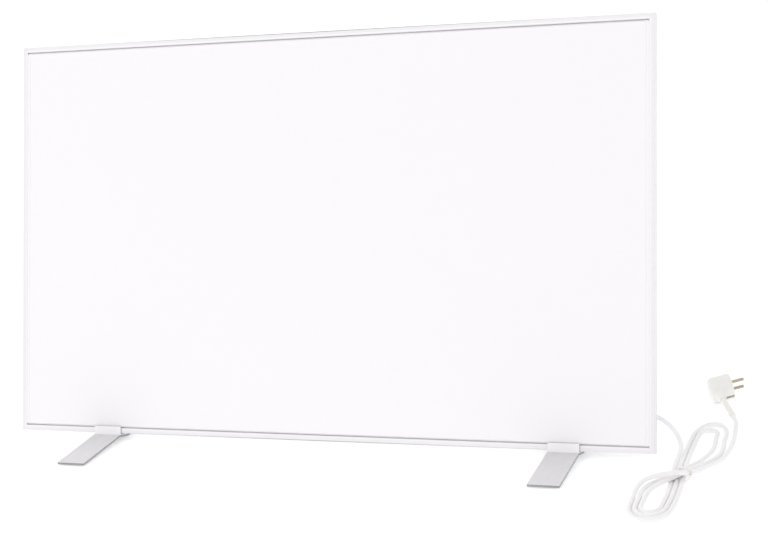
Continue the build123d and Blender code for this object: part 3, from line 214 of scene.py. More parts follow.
def stage_floor():
    """A square of the floor's size at the floor's height, made from four corners."""
    half = FLOOR_SIZE / 2
    corners = np.array([(-1, -1), (1, -1), (1, 1), (-1, 1)], float) * half
    mesh = bpy.data.meshes.new("floor")
    mesh.from_pydata([(x, y, -FLOOR_DROP) for x, y in corners.tolist()], [], [(0, 1, 2, 3)])
    floor = bpy.data.objects.new("floor", mesh)
    bpy.context.scene.collection.objects.link(floor)
    material = bpy.data.materials.new("floor_paper")
    material.use_nodes = True
    shader = material.node_tree.nodes["Principled BSDF"]
    shader.inputs["Base Color"].default_value = FLOOR_TONE
    shader.inputs["Roughness"].default_value = 0.9
    shader.inputs["Specular IOR Level"].default_value = 0.1
    shader.inputs["Emission Color"].default_value = WHITE
    shader.inputs["Emission Strength"].default_value = FLOOR_GLOW
    mesh.materials.append(material)
    return floor


stage_floor()

sky = bpy.data.worlds.new("sky")
sky.use_nodes = True
sky_tree = sky.node_tree
way = sky_tree.nodes.new("ShaderNodeTexCoord")
ways = sky_tree.nodes.new("ShaderNodeSeparateXYZ")
sky_tree.links.new(way.outputs["Generated"], ways.inputs[0])
leftward = math_node(sky_tree, "MULTIPLY", ways.outputs["X"], -SKY_TILT * SKY_STRENGTH)
strength = math_node(sky_tree, "ADD", leftward, SKY_STRENGTH)
upward = math_node(sky_tree, "MULTIPLY", ways.outputs["Z"], SKY_RISE * SKY_STRENGTH)
strength = math_node(sky_tree, "ADD", strength, upward)
background = sky_tree.nodes["Background"]
background.inputs["Color"].default_value = WHITE
sky_tree.links.new(strength, background.inputs["Strength"])
bpy.context.scene.world = sky


def soft_lamp(name, place, target, size, power):
    """A square area lamp at a place, facing a target."""
    data = bpy.data.lights.new(name, "AREA")
    data.shape = "SQUARE"
    data.size = size
    data.energy = power
    lamp = bpy.data.objects.new(name, data)
    bpy.context.scene.collection.objects.link(lamp)
    lamp.location = place
    lamp.rotation_euler = (Vector(target) - Vector(place)).to_track_quat("-Z", "Y").to_euler()


soft_lamp("key_left", LAMP_PLACE, LAMP_TARGET, LAMP_SIZE, LAMP_POWER)

scene = bpy.context.scene
scene.view_settings.view_transform = "Standard"
scene.view_settings.look = "None"
scene.view_settings.exposure = 0.0
scene.view_settings.gamma = 1.0
print("studio ready")

# %% [markdown]
# ## Effects that several finishes share
#
# Powder coat, moulded plastic, brushed metal and rubber all have a fine relief, cloudy
# changes of gloss where hands and cloths have been, and a trace of dust on what faces up.
# Each of these is a shader group with a few numbers as inputs, built once and placed in each
# finish with that finish's own numbers.

# %% Shader groups
def new_group(name, inputs, outputs):
    """An empty shader group with float or vector inputs and outputs: (name, type, value)."""
    group = bpy.data.node_groups.new(name, "ShaderNodeTree")
    for label, kind, value in inputs:
        socket = group.interface.new_socket(label, in_out="INPUT", socket_type=kind)
        socket.default_value = value
    for label, kind in outputs:
        group.interface.new_socket(label, in_out="OUTPUT", socket_type=kind)
    return group, group.nodes.new("NodeGroupInput"), group.nodes.new("NodeGroupOutput")


FLOAT, VECTOR = "NodeSocketFloat", "NodeSocketVector"

grain, inp, out = new_group(
    "fine_grain",
    [("Vector", VECTOR, (0, 0, 0)), ("Stretch", VECTOR, (1, 1, 1)), ("Scale", FLOAT, 800.0),
     ("Detail", FLOAT, 3.0), ("Second Scale", FLOAT, 5.0)],
    [("Height", FLOAT), ("Shade", FLOAT)],
)
stretch = grain.nodes.new("ShaderNodeVectorMath")
stretch.operation = "MULTIPLY"
grain.links.new(inp.outputs["Vector"], stretch.inputs[0])
grain.links.new(inp.outputs["Stretch"], stretch.inputs[1])
fine = grain.nodes.new("ShaderNodeTexNoise")
coarse = grain.nodes.new("ShaderNodeTexNoise")
coarse_scale = math_node(grain, "DIVIDE", inp.outputs["Scale"], inp.outputs["Second Scale"])
for noise, scale in ((fine, inp.outputs["Scale"]), (coarse, coarse_scale)):
    grain.links.new(stretch.outputs[0], noise.inputs["Vector"])
    grain.links.new(scale, noise.inputs["Scale"])
    grain.links.new(inp.outputs["Detail"], noise.inputs["Detail"])
height = math_node(grain, "ADD", fine.outputs["Fac"], coarse.outputs["Fac"])
grain.links.new(math_node(grain, "MULTIPLY", height, 0.5), out.inputs["Height"])
grain.links.new(coarse.outputs["Fac"], out.inputs["Shade"])

wipe, inp, out = new_group(
    "cloudy_gloss",
    [("Vector", VECTOR, (0, 0, 0)), ("Scale", FLOAT, 9.0), ("Low", FLOAT, 0.35),
     ("High", FLOAT, 0.45)],
    [("Roughness", FLOAT), ("Mask", FLOAT)],
)
cloud = wipe.nodes.new("ShaderNodeTexNoise")
cloud.inputs["Detail"].default_value = 4.0
cloud.inputs["Distortion"].default_value = 0.4
wipe.links.new(inp.outputs["Vector"], cloud.inputs["Vector"])
wipe.links.new(inp.outputs["Scale"], cloud.inputs["Scale"])
spread = wipe.nodes.new("ShaderNodeMapRange")
spread.inputs["From Min"].default_value = 0.3
spread.inputs["From Max"].default_value = 0.7
wipe.links.new(cloud.outputs["Fac"], spread.inputs["Value"])
wipe.links.new(inp.outputs["Low"], spread.inputs["To Min"])
wipe.links.new(inp.outputs["High"], spread.inputs["To Max"])
wipe.links.new(spread.outputs["Result"], out.inputs["Roughness"])
wipe.links.new(cloud.outputs["Fac"], out.inputs["Mask"])

dust, inp, out = new_group(
    "settled_dust",
    [("Vector", VECTOR, (0, 0, 0)), ("Amount", FLOAT, 0.1), ("Scale", FLOAT, 140.0)],
    [("Mask", FLOAT)],
)
facing = dust.nodes.new("ShaderNodeNewGeometry")
parts = dust.nodes.new("ShaderNodeSeparateXYZ")
dust.links.new(facing.outputs["Normal"], parts.inputs[0])
specks = dust.nodes.new("ShaderNodeTexNoise")
specks.inputs["Detail"].default_value = 6.0
dust.links.new(inp.outputs["Vector"], specks.inputs["Vector"])
dust.links.new(inp.outputs["Scale"], specks.inputs["Scale"])
upward = math_node(dust, "MAXIMUM", parts.outputs["Z"], 0.0)
lying = math_node(dust, "MULTIPLY", math_node(dust, "POWER", upward, 2.0), specks.outputs["Fac"])
dust.links.new(math_node(dust, "MULTIPLY", lying, inp.outputs["Amount"]), out.inputs["Mask"])
print("groups", [g.name for g in bpy.data.node_groups])

# %% [markdown]
# ## A finish from the groups
#
# Every finish is one Principled shader fed by the three groups. The grain tints the colour
# between two close tones and gives the bump, the clouds move the roughness, and the dust
# dulls what faces up. The tones differ by a few per cent only: real coatings are not flat,
# and a stronger pattern would read as dirt on a new heater.

# %% One finish
DUST_TONE = (0.70, 0.69, 0.66, 1.0)


def place_group(tree, group, vector, **values):
    """A shader group placed in a material, reading a vector, with its named inputs set."""
    node = tree.nodes.new("ShaderNodeGroup")
    node.node_tree = group
    tree.links.new(vector, node.inputs["Vector"])
    for socket, value in values.items():
        node.inputs[socket.replace("_", " ")].default_value = value
    return node


def mix_colour(tree, factor, first, second):
    """A Mix node between two colours, each a socket or a colour value."""
    node = tree.nodes.new("ShaderNodeMix")
    node.data_type = "RGBA"
    tree.links.new(factor, node.inputs["Factor"])
    for socket, value in (("A", first), ("B", second)):
        index = [i for i, s in enumerate(node.inputs) if s.name == socket and s.type == "RGBA"][0]
        if isinstance(value, bpy.types.NodeSocket):
            tree.links.new(value, node.inputs[index])
        else:
            node.inputs[index].default_value = (*value[:3], 1.0)
    return [s for s in node.outputs if s.type == "RGBA"][0]


def make_finish(name, light, dark, rough, metal=0.0, scale=900.0, stretch_by=(1, 1, 1),
                relief=0.00002, dusty=0.05, cloud_scale=9.0, specular=0.5):
    """A procedural finish: light and dark are its two tones, rough its range of roughness,
    scale the grain's spots a metre, stretch_by the grain's stretch and relief its depth."""
    material = bpy.data.materials.new(name)
    material.use_nodes = True
    tree = material.node_tree
    shader = tree.nodes["Principled BSDF"]
    place = tree.nodes.new("ShaderNodeTexCoord").outputs["Object"]
    tex = place_group(tree, grain, place, Scale=scale, Stretch=stretch_by)
    gloss = place_group(tree, wipe, place, Scale=cloud_scale, Low=rough[0], High=rough[1])
    film = place_group(tree, dust, place, Amount=dusty)
    tone = mix_colour(tree, tex.outputs["Shade"], dark, light)
    tone = mix_colour(tree, film.outputs["Mask"], tone, DUST_TONE)
    tree.links.new(tone, shader.inputs["Base Color"])
    tree.links.new(gloss.outputs["Roughness"], shader.inputs["Roughness"])
    shader.inputs["Metallic"].default_value = metal
    shader.inputs["Specular IOR Level"].default_value = specular
    bump = tree.nodes.new("ShaderNodeBump")
    bump.inputs["Strength"].default_value = 1.0
    bump.inputs["Distance"].default_value = relief
    tree.links.new(tex.outputs["Height"], bump.inputs["Height"])
    tree.links.new(bump.outputs["Normal"], shader.inputs["Normal"])
    return material


# %% [markdown]
# ## The finishes
#
# One row of numbers for each of the record's slots. Whites differ: the emitter's matt enamel
# is the lightest and faintly violet, the frame's satin powder coat is a shade greyer, and the
# plastics lean a little to yellow. Metals get stretched grain along the way they were drawn
# or brushed.

# %% Table of finishes
ALONG_Y = (60.0, 1.0, 60.0)
ALONG_X = (1.0, 40.0, 40.0)
finishes = {
    "frame_coating": make_finish(
        "satin_powder_coat", (0.905, 0.885, 0.91), (0.865, 0.845, 0.87), (0.30, 0.42),
        scale=1100.0, relief=0.000012, dusty=0.03),
    "emitter_enamel": make_finish(
        "matt_emitter_enamel", (0.965, 0.945, 0.965), (0.95, 0.93, 0.95), (0.55, 0.68),
        scale=1500.0, relief=0.00001, dusty=0.0, cloud_scale=4.0, specular=0.3),
    "cover_coating": make_finish(
        "cover_powder_coat", (0.84, 0.84, 0.85), (0.79, 0.79, 0.80), (0.42, 0.55),
        scale=800.0, relief=0.00003),
    "zinc_steel": make_finish(
        "zinc_plating", (0.78, 0.79, 0.81), (0.62, 0.64, 0.68), (0.24, 0.40), metal=1.0,
        scale=1800.0, relief=0.00001, dusty=0.0, cloud_scale=300.0),
    "foot_steel": make_finish(
        "brushed_foot_steel", (0.84, 0.84, 0.85), (0.72, 0.72, 0.73), (0.34, 0.48), metal=0.85,
        scale=60.0, stretch_by=ALONG_Y, relief=0.00001, dusty=0.1, cloud_scale=30.0),
    "clip_coating": make_finish(
        "white_clip_coat", (0.98, 0.965, 0.98), (0.96, 0.945, 0.96), (0.32, 0.45),
        scale=1200.0, relief=0.000012),
    "liner_rubber": make_finish(
        "liner_rubber", (0.10, 0.10, 0.105), (0.06, 0.06, 0.065), (0.7, 0.85),
        scale=2500.0, relief=0.00003, dusty=0.2),
    "pad_rubber": make_finish(
        "grey_pad_rubber", (0.55, 0.55, 0.56), (0.46, 0.46, 0.47), (0.7, 0.9),
        scale=2500.0, relief=0.00003, dusty=0.1),
    "knob_plastic": make_finish(
        "black_knob_plastic", (0.075, 0.075, 0.08), (0.05, 0.05, 0.055), (0.38, 0.52),
        scale=3000.0, relief=0.00002, dusty=0.15),
    "alloy": make_finish(
        "mill_alloy", (0.82, 0.83, 0.84), (0.70, 0.71, 0.72), (0.30, 0.45), metal=1.0,
        scale=30.0, stretch_by=ALONG_X, relief=0.00001, dusty=0.0),
    "film": make_finish(
        "carbon_film", (0.07, 0.07, 0.075), (0.035, 0.035, 0.04), (0.35, 0.5),
        scale=1200.0, relief=0.00001, dusty=0.0),
    "copper_foil": make_finish(
        "copper_foil", (0.86, 0.50, 0.36), (0.70, 0.36, 0.24), (0.25, 0.42), metal=1.0,
        scale=60.0, stretch_by=ALONG_Y, dusty=0.0),
    "mica": make_finish(
        "mica_paper", (0.74, 0.69, 0.57), (0.55, 0.50, 0.40), (0.35, 0.6),
        scale=700.0, relief=0.00004, dusty=0.0),
    "foil": make_finish(
        "bright_foil", (0.92, 0.93, 0.94), (0.80, 0.81, 0.82), (0.12, 0.25), metal=1.0,
        scale=40.0, stretch_by=ALONG_X, dusty=0.0),
    "board": make_finish(
        "mineral_board", (0.86, 0.81, 0.68), (0.68, 0.62, 0.48), (0.85, 0.98),
        scale=1000.0, stretch_by=(1, 4, 4), relief=0.0002, dusty=0.0),
    "box_plastic": make_finish(
        "grained_box_plastic", (0.89, 0.885, 0.87), (0.85, 0.845, 0.83), (0.42, 0.55),
        scale=2200.0, relief=0.00004, dusty=0.12),
    "bush_brass": make_finish(
        "turned_brass", (0.83, 0.68, 0.38), (0.68, 0.53, 0.26), (0.25, 0.38), metal=1.0,
        scale=900.0, dusty=0.0),
    "block_plastic": make_finish(
        "block_plastic", (0.86, 0.85, 0.79), (0.80, 0.79, 0.73), (0.35, 0.48),
        scale=2000.0, dusty=0.0),
    "wire_brown": make_finish(
        "brown_insulation", (0.30, 0.15, 0.08), (0.22, 0.10, 0.05), (0.3, 0.42), dusty=0.0),
    "wire_blue": make_finish(
        "blue_insulation", (0.08, 0.22, 0.60), (0.05, 0.16, 0.46), (0.3, 0.42), dusty=0.0),
    "wire_green": make_finish(
        "green_insulation", (0.30, 0.55, 0.12), (0.22, 0.44, 0.08), (0.3, 0.42), dusty=0.0),
    "cord_white": make_finish(
        "soft_white_jacket", (0.97, 0.96, 0.97), (0.95, 0.94, 0.945), (0.36, 0.50),
        scale=1600.0, relief=0.00002, dusty=0.05, cloud_scale=40.0),
    "tie_paper": make_finish(
        "beige_wire_tie", (0.91, 0.895, 0.83), (0.85, 0.83, 0.75), (0.45, 0.6),
        scale=1500.0, relief=0.00004, dusty=0.0, cloud_scale=60.0),
    "plug_white": make_finish(
        "moulded_white_plug", (0.94, 0.925, 0.89), (0.90, 0.885, 0.85), (0.28, 0.40),
        scale=2600.0, relief=0.000015, dusty=0.04, cloud_scale=60.0),
    "contact_brass": make_finish(
        "nickelled_contact_brass", (0.56, 0.53, 0.40), (0.38, 0.36, 0.26), (0.16, 0.30), metal=1.0,
        scale=700.0, dusty=0.0, cloud_scale=120.0),
}
print("finishes", len(finishes))

# %% [markdown]
# ## Painted highlight, reflection and shade
#
# Two finishes are not the same all over, and the differences are painted light. The frame's
# bevel is painted a shade lighter than the flat face beside it, a painted highlight: the rails
# below store a number for it, and another for a painted dark reflection, a narrow line along the
# rounded outer edge of the top and bottom rails. The feet's top is brushed, and their steep cut
# edges are painted darker, a painted shade: there the way that the face looks decides.

# %% More tones
# Painted highlight: the frame's bevel is painted lighter than the flat face beside it.
BEVEL_HIGHLIGHT_TONE = (0.935, 0.915, 0.935)
# Painted dark reflection along the rounded outer edge of the top and bottom rails.
EDGE_REFLECTION_TONE = (0.45, 0.45, 0.46)
# Painted shade: the feet's steep cut edges are painted darker.
EDGE_SHADE_TONE = (0.34, 0.34, 0.35)
LEVEL_ENOUGH = 0.8


def lay_tone(material, mask, tone):
    """Mix a tone over a material's base colour where a mask is one."""
    tree = material.node_tree
    socket = tree.nodes["Principled BSDF"].inputs["Base Color"]
    under = socket.links[0].from_socket
    tree.links.new(mix_colour(tree, mask, under, tone), socket)


# The first mark lays a painted highlight on the bevel, the second a painted dark reflection on the
# rails' outer edge.
for label, tone in (("bevel", BEVEL_HIGHLIGHT_TONE), ("dark_edge_reflection", EDGE_REFLECTION_TONE)):
    mark = finishes["frame_coating"].node_tree.nodes.new("ShaderNodeAttribute")
    mark.attribute_name = label
    lay_tone(finishes["frame_coating"], mark.outputs["Fac"], tone)

# The foot steel is painted darker where its face is steep, a painted shade on the cut edges.
steel_tree = finishes["foot_steel"].node_tree
steel_facing = steel_tree.nodes.new("ShaderNodeNewGeometry")
steel_ways = steel_tree.nodes.new("ShaderNodeSeparateXYZ")
steel_tree.links.new(steel_facing.outputs["Normal"], steel_ways.inputs[0])
steepness = math_node(steel_tree, "ABSOLUTE", steel_ways.outputs["Z"])
steep_face_shade_mask = math_node(steel_tree, "LESS_THAN", steepness, LEVEL_ENOUGH)
lay_tone(finishes["foot_steel"], steep_face_shade_mask, EDGE_SHADE_TONE)
print("tones laid")

# %% [markdown]
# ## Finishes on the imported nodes
#
# The record says which slot each node has. The node's mesh is left alone: only the material
# in its object's slots changes. The three supply cores are one node with one slot, so they
# share one colour here, though real ones are brown, blue, and green with yellow.

# %% Paint the nodes
def dress(piece, material):
    """Give a piece one material in every slot it has."""
    if not piece.material_slots:
        piece.data.materials.append(material)
    for holder in piece.material_slots:
        holder.link = "OBJECT"
        holder.material = material


slot_of = {row["node"]: row["material_slot"] for row in frame["record"]["subparts"]}
for node, slot_name in slot_of.items():
    dress(nodes[node], finishes[slot_name])
dress(cord, finishes["cord_white"])
print("nodes dressed", len(slot_of))

# %% [markdown]
# ## Making a piece from rings
#
# Most new pieces here are a closed row of rings: a profile that changes a little from one
# station to the next. All rings together are one grid of points, with the station as one
# parameter and the place around the ring as the other. The grid's quads and two end caps
# close the shape.

# %% Rings to a mesh
def ring_faces(stations, around):
    """Quads between each ring and the next, and one cap polygon on each end ring."""
    station, place = np.meshgrid(np.arange(stations - 1), np.arange(around), indexing="ij")
    nearby = (place + 1) % around
    first = station * around + place
    second = station * around + nearby
    quads = np.stack([first, second, second + around, first + around], axis=-1).reshape(-1, 4)
    first_cap = list(range(around - 1, -1, -1))
    last_cap = list(range((stations - 1) * around, stations * around))
    return quads.tolist() + [first_cap, last_cap]


def piece_from(name, points, faces, body, slot_name, sharp=32.0):
    """A mesh object from points and faces, with outward normals, its finish and its body."""
    mesh = bpy.data.meshes.new(name)
    mesh.from_pydata(np.asarray(points).reshape(-1, 3).tolist(), [], faces)
    shape = bmesh.new()
    shape.from_mesh(mesh)
    bmesh.ops.recalc_face_normals(shape, faces=shape.faces)
    shape.to_mesh(mesh)
    shape.free()
    mesh.shade_smooth()
    mesh.set_sharp_from_angle(angle=math.radians(sharp))
    piece = bpy.data.objects.new(name, mesh)
    bpy.context.scene.collection.objects.link(piece)
    mesh.materials.append(finishes[slot_name])
    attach(piece, body)
    return piece


def rings_piece(name, rings, body, slot_name, sharp=32.0):
    """A closed piece from an array of rings: stations, points around, and x, y, z."""
    rings = np.asarray(rings, float)
    return piece_from(name, rings, ring_faces(*rings.shape[:2]), body, slot_name, sharp)


# %% [markdown]
# ## The panel's own axes
#
# The panel leans back 14 degrees. It is easier to think of its parts as across, up and into
# the panel, and to turn those into the room's axes at the end.

# %% Panel axes
LEAN = math.radians(14.0)
PANEL_WIDTH = 1000.0
PANEL_HEIGHT = 600.0
PANEL_FOOT = np.array([0.0, -30.0, 11.715])
ACROSS = np.array([1.0, 0.0, 0.0])
UP_PANEL = np.array([0.0, math.sin(LEAN), math.cos(LEAN)])
INTO_PANEL = np.array([0.0, math.cos(LEAN), -math.sin(LEAN)])


def in_panel(x, y, depth):
    """Points in metres from millimetres across, up and into the panel: the foot's middle plus
    each distance times its own direction."""
    x, y, depth = np.broadcast_arrays(x, y, depth)
    place = PANEL_FOOT + x[..., None] * ACROSS + y[..., None] * UP_PANEL
    return (place + depth[..., None] * INTO_PANEL) * MM


# %% [markdown]
# ## The frame's rails
#
# Each rail is an extruded section cut at 45 degrees and coated after. The solid rails have
# knife edges, but a drawn and coated edge is round, and the thin light line on it is what
# shows the frame in a white picture. So the section gets rounded corners, and is carried
# from mitre to mitre: a point that lies further inward has a shorter way to go.

# %% Rounded section
def rounded_section(corners, radii, steps=4):
    """A closed polygon with each corner replaced by an arc. The arc starts a little before the
    corner, ends a little after it, and its points lie on a quadratic curve between the two."""
    corners = np.asarray(corners, float)
    before = np.roll(corners, 1, axis=0) - corners
    after = np.roll(corners, -1, axis=0) - corners
    before /= np.linalg.norm(before, axis=1)[:, None]
    after /= np.linalg.norm(after, axis=1)[:, None]
    reach = np.asarray(radii, float)[:, None, None]
    t = np.linspace(0.0, 1.0, steps + 1)[None, :, None]
    start = corners[:, None] + before[:, None] * reach
    end = corners[:, None] + after[:, None] * reach
    arcs = (1 - t) ** 2 * start + 2 * t * (1 - t) * corners[:, None] + t**2 * end
    return arcs.reshape(-1, 2)


# Inward and depth of the section's corners, in millimetres, and how far each is rounded.
LINE_WIDTH = 1.3
RAIL_CORNERS = [
    (0, 0), (LINE_WIDTH, 0), (5, 0), (8, 0.9), (8, 1.5), (1.5, 1.5), (1.5, 5), (8, 5), (8, 16),
    (0, 16),
]
RAIL_RADII = [0.7, 0.05, 0.9, 0.28, 0.2, 0.3, 0.3, 0.3, 0.4, 0.5]
MITRE_SEAM = 0.06
BEVEL_STARTS = 5.2
BEVEL_ENDS = 1.6
LINE_ENDS = 0.6
RAIL_STATIONS = 9
rail_section = rounded_section(RAIL_CORNERS, RAIL_RADII)
print("rail section points", len(rail_section))


# %% [markdown]
# The bevel's painted highlight and the painted dark reflection on the outer edge are numbers
# on the rail's points, which the finish above reads. The painted reflection is there on the top
# and bottom rails only, and fades towards the corners.

# %% Four rails
def mitred_rail(name, node, length, lined, place):
    """The rail section at stations from mitre to mitre, each a fraction of the half length
    less the inward distance and the seam. place turns along, inward and depth into across, up
    and depth. A lined rail has a painted dark reflection, a narrow line along its rounded outer
    edge, strongest in the middle: a squared cosine of the station."""
    inward, depth = rail_section[:, 0], rail_section[:, 1]
    half = length / 2 - inward - MITRE_SEAM
    stations = np.linspace(-1.0, 1.0, RAIL_STATIONS)
    rings = [in_panel(*place(station * half, inward, depth)) for station in stations]
    rail = rings_piece(name, rings, "panel", "frame_coating")
    on_bevel = (inward > BEVEL_STARTS) & (depth < BEVEL_ENDS)
    mark = rail.data.attributes.new("bevel", "FLOAT", "POINT")
    mark.data.foreach_set("value", np.tile(on_bevel.astype(float), RAIL_STATIONS))
    # A painted dark reflection along the outer edge, strongest in the middle of the rail.
    on_line = lined * (inward < LINE_WIDTH) * (depth < LINE_ENDS)
    mark = rail.data.attributes.new("dark_edge_reflection", "FLOAT", "POINT")
    reflection_fade = np.cos(stations * math.pi / 2) ** 2
    mark.data.foreach_set("value", np.outer(reflection_fade, on_line).ravel())
    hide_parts(node)
    return rail


MIDDLE = PANEL_HEIGHT / 2
HALF_WIDTH = PANEL_WIDTH / 2
rail_rows = [
    ("rail_bottom", "frame_bottom_rail", PANEL_WIDTH, True, lambda s, u, d: (s, u, d)),
    ("rail_top", "frame_top_rail", PANEL_WIDTH, True, lambda s, u, d: (s, PANEL_HEIGHT - u, d)),
    ("stile_left", "frame_left_stile", PANEL_HEIGHT, False,
     lambda s, u, d: (u - HALF_WIDTH, MIDDLE + s, d)),
    ("stile_right", "frame_right_stile", PANEL_HEIGHT, False,
     lambda s, u, d: (HALF_WIDTH - u, MIDDLE + s, d)),
]
rails = [mitred_rail(*row) for row in rail_rows]
print("rails", [rail.name for rail in rails])

# %% [markdown]
# ## The emitter plate
#
# The front is one sheet of enamelled metal, folded back on all sides to stiffen it, with a
# fine groove pressed along its left and right sides. From this side the groove is a thin grey
# line with a lighter band beside it. The plate is built from rings too: each ring is a
# rectangle with round corners, and the rings go from the front face over the groove, down the
# fold, out along the flange and back on the inside.

# %% Emitter plate
def round_rectangle(half_x, half_y, radius, depth, per_corner=5):
    """A ring on a rectangle with round corners, centred on the panel: each corner's centre
    plus the radius times a quarter turn."""
    angle = np.linspace(0.0, math.pi / 2, per_corner)
    quarter = np.array([0, 1, 2, 3]) * math.pi / 2
    turned = quarter[:, None] + angle[None]
    sign_x = np.array([1, -1, -1, 1])[:, None]
    sign_y = np.array([1, 1, -1, -1])[:, None]
    x = sign_x * (half_x - radius) + radius * np.cos(turned)
    y = sign_y * (half_y - radius) + radius * np.sin(turned)
    return in_panel(x.ravel(), MIDDLE + y.ravel(), np.full(x.size, depth))


EMITTER_HALF = (491.95, 290.0)
FLANGE_HALF = (497.5, 297.5)
# Each ring: how far inside the emitter's side and end it lies, its corner radius and depth.
EMITTER_RINGS = [
    (4.9, 1.30, 2.6, 1.00), (4.5, 1.10, 2.5, 1.05), (4.1, 0.95, 2.5, 1.75), (3.7, 0.80, 2.4, 1.05),
    (3.3, 0.70, 2.4, 1.00), (0.35, 0.40, 2.2, 1.00), (0.1, 0.15, 2.1, 1.08), (0.0, 0.00, 2.0, 1.30),
    (0.0, 0.00, 2.0, 4.20),
]
BACK_RINGS = [(0.8, 0.8, 1.4, 5.0), (0.8, 0.8, 1.4, 2.2), (5.2, 1.6, 1.4, 1.8)]
emitter_rings = [
    round_rectangle(EMITTER_HALF[0] - a, EMITTER_HALF[1] - b, r, d) for a, b, r, d in EMITTER_RINGS
]
emitter_rings += [round_rectangle(*FLANGE_HALF, 2.0, d) for d in (4.2, 5.0)]
emitter_rings += [
    round_rectangle(EMITTER_HALF[0] - a, EMITTER_HALF[1] - b, r, d) for a, b, r, d in BACK_RINGS
]
emitter = rings_piece("emitter_front", emitter_rings, "panel", "emitter_enamel", sharp=50.0)
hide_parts("emitter_plate")
print("emitter points", len(emitter.data.vertices))

# %% [markdown]
# ## Softer edges on the folded and moulded parts
#
# Folded sheet and moulded plastic have no knife edges either. A copy of the node is merged
# into one skin, flat faces are joined, and a Bevel modifier rounds what is left by a few
# tenths of a millimetre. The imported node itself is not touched.

# %% Softened copies
MERGE_DISTANCE = 0.00001
FLAT_ANGLE = math.radians(0.5)


def softened(node, width, body):
    """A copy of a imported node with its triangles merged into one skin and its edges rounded."""
    source = nodes[node]
    mesh = source.data.copy()
    mesh.name = node + "_soft"
    shape = bmesh.new()
    shape.from_mesh(mesh)
    bmesh.ops.remove_doubles(shape, verts=shape.verts, dist=MERGE_DISTANCE)
    bmesh.ops.dissolve_limit(
        shape, angle_limit=FLAT_ANGLE, verts=shape.verts, edges=shape.edges)
    bmesh.ops.recalc_face_normals(shape, faces=shape.faces)
    shape.to_mesh(mesh)
    shape.free()
    if "custom_normal" in mesh.attributes:
        mesh.attributes.remove(mesh.attributes["custom_normal"])
    mesh.shade_smooth()
    mesh.set_sharp_from_angle(angle=math.radians(32.0))
    piece = bpy.data.objects.new(node + "_soft", mesh)
    bpy.context.scene.collection.objects.link(piece)
    edge = piece.modifiers.new("edge", "BEVEL")
    edge.width = width
    edge.segments = 2
    edge.limit_method = "ANGLE"
    edge.angle_limit = math.radians(40.0)
    edge.harden_normals = True
    slot_name = slot_of[node]
    dress(piece, finishes[slot_name])
    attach(piece, body)
    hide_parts(node)
    return piece


soft_rows = [("junction_box", 0.0005, "panel"), ("junction_box_lid", 0.0006, "panel"),
             ("gland_nut", 0.0003, "panel")]
for side in ("left", "right"):
    soft_rows += [("foot_plate_" + side, 0.0003, "foot_" + side),
                  ("foot_clip_" + side, 0.0003, "foot_" + side)]
soft_pieces = [softened(*row) for row in soft_rows]
print("softened", [piece.name for piece in soft_pieces])

# %% [markdown]
# ## The sleeve at the plug
#
# Behind the plug's neck a soft sleeve takes the bending. It is a round tube that widens to a
# collar where the lead enters, with shallow grooves that let it bend. Its radius is a
# function of the distance along the cable's axis.

# %% Plug sleeve
PLUG_CENTRE = np.array([541.3, 239.8, 19.6])
CABLE_WAY = np.array([0.38542, -0.912506, -0.137059])
SLEEVE_START, SLEEVE_END = 39.0, 93.0
SLEEVE_RADIUS, SLEEVE_SPREAD = 4.15, 0.35
GROOVES_START, GROOVES_END = 52.0, 82.0
GROOVE_PITCH, GROOVE_DEPTH = 5.0, 0.28
COLLAR_START, COLLAR_RISE, COLLAR_RUN = 86.5, 0.45, 0.8


def sleeve_radius(s):
    """Radius at a distance along the cable: a slow cone, less shallow grooves in the middle
    part, plus a collar with rounded ends over the last six millimetres."""
    cone = SLEEVE_RADIUS + SLEEVE_SPREAD * (s - SLEEVE_START) / (SLEEVE_END - SLEEVE_START)
    in_grooves = np.clip((s - GROOVES_START) / 2.0, 0, 1) * np.clip((GROOVES_END - s) / 2.0, 0, 1)
    wave = np.clip(np.cos(2 * math.pi * (s - GROOVES_START) / GROOVE_PITCH), 0, 1)
    grooves = GROOVE_DEPTH * in_grooves * wave**2
    collar = COLLAR_RISE * np.clip((s - COLLAR_START) / COLLAR_RUN, 0, 1)
    to_end = ((s - SLEEVE_END + COLLAR_RUN) / COLLAR_RUN).clip(0, 1)
    end_round = 0.6 * (1 - np.sqrt(np.clip(1 - to_end**2, 0, 1)))
    return cone - grooves + collar - end_round


def round_piece(name, start, way, s, radius, body, slot_name, around=40, sharp=40.0):
    """Circles square to a direction, one for each distance s with its radius."""
    way = way / np.linalg.norm(way)
    across = np.cross(way, [0.0, 0.0, 1.0])
    across /= np.linalg.norm(across)
    other = np.cross(way, across)
    angle = np.linspace(0, 2 * math.pi, around, endpoint=False)[None, :, None]
    rings = start + s[:, None, None] * way + radius[:, None, None] * (
        np.cos(angle) * across + np.sin(angle) * other)
    return rings_piece(name, rings * MM, body, slot_name, sharp)


sleeve_s = np.concatenate([
    np.linspace(SLEEVE_START, COLLAR_START - 0.1, 180), np.linspace(COLLAR_START, SLEEVE_END, 26)])
sleeve = round_piece("plug_cable_sleeve", PLUG_CENTRE, CABLE_WAY, sleeve_s,
                     sleeve_radius(sleeve_s), "panel", "plug_white")
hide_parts("plug_sleeve")
print("sleeve radii", round(float(sleeve_radius(sleeve_s).min()), 2),
      round(float(sleeve_radius(sleeve_s).max()), 2))

# %% [markdown]
# ## The tie
#
# A flat coated wire goes round the crossing of the hank and its two ends are twisted
# together. The band follows the outside of the strands: in each direction it lies as far out
# as the furthest strand plus the strand's radius, which is the support function of the
# bundle. The strands' places come from the lead's own smooth line.

# %% Where the strands cross the tie
TIE_MIDDLE = np.array([543.5, -99.0, 0.0])
TIE_WAY = np.array([0.199368, 0.979925, 0.0])
TIE_SIDE = np.array([0.979925, -0.199368, 0.0])
TIE_WIDTH = 5.5
TIE_THICKNESS = 0.7
TIE_GAP = 0.12
TIE_REACH = 26.0


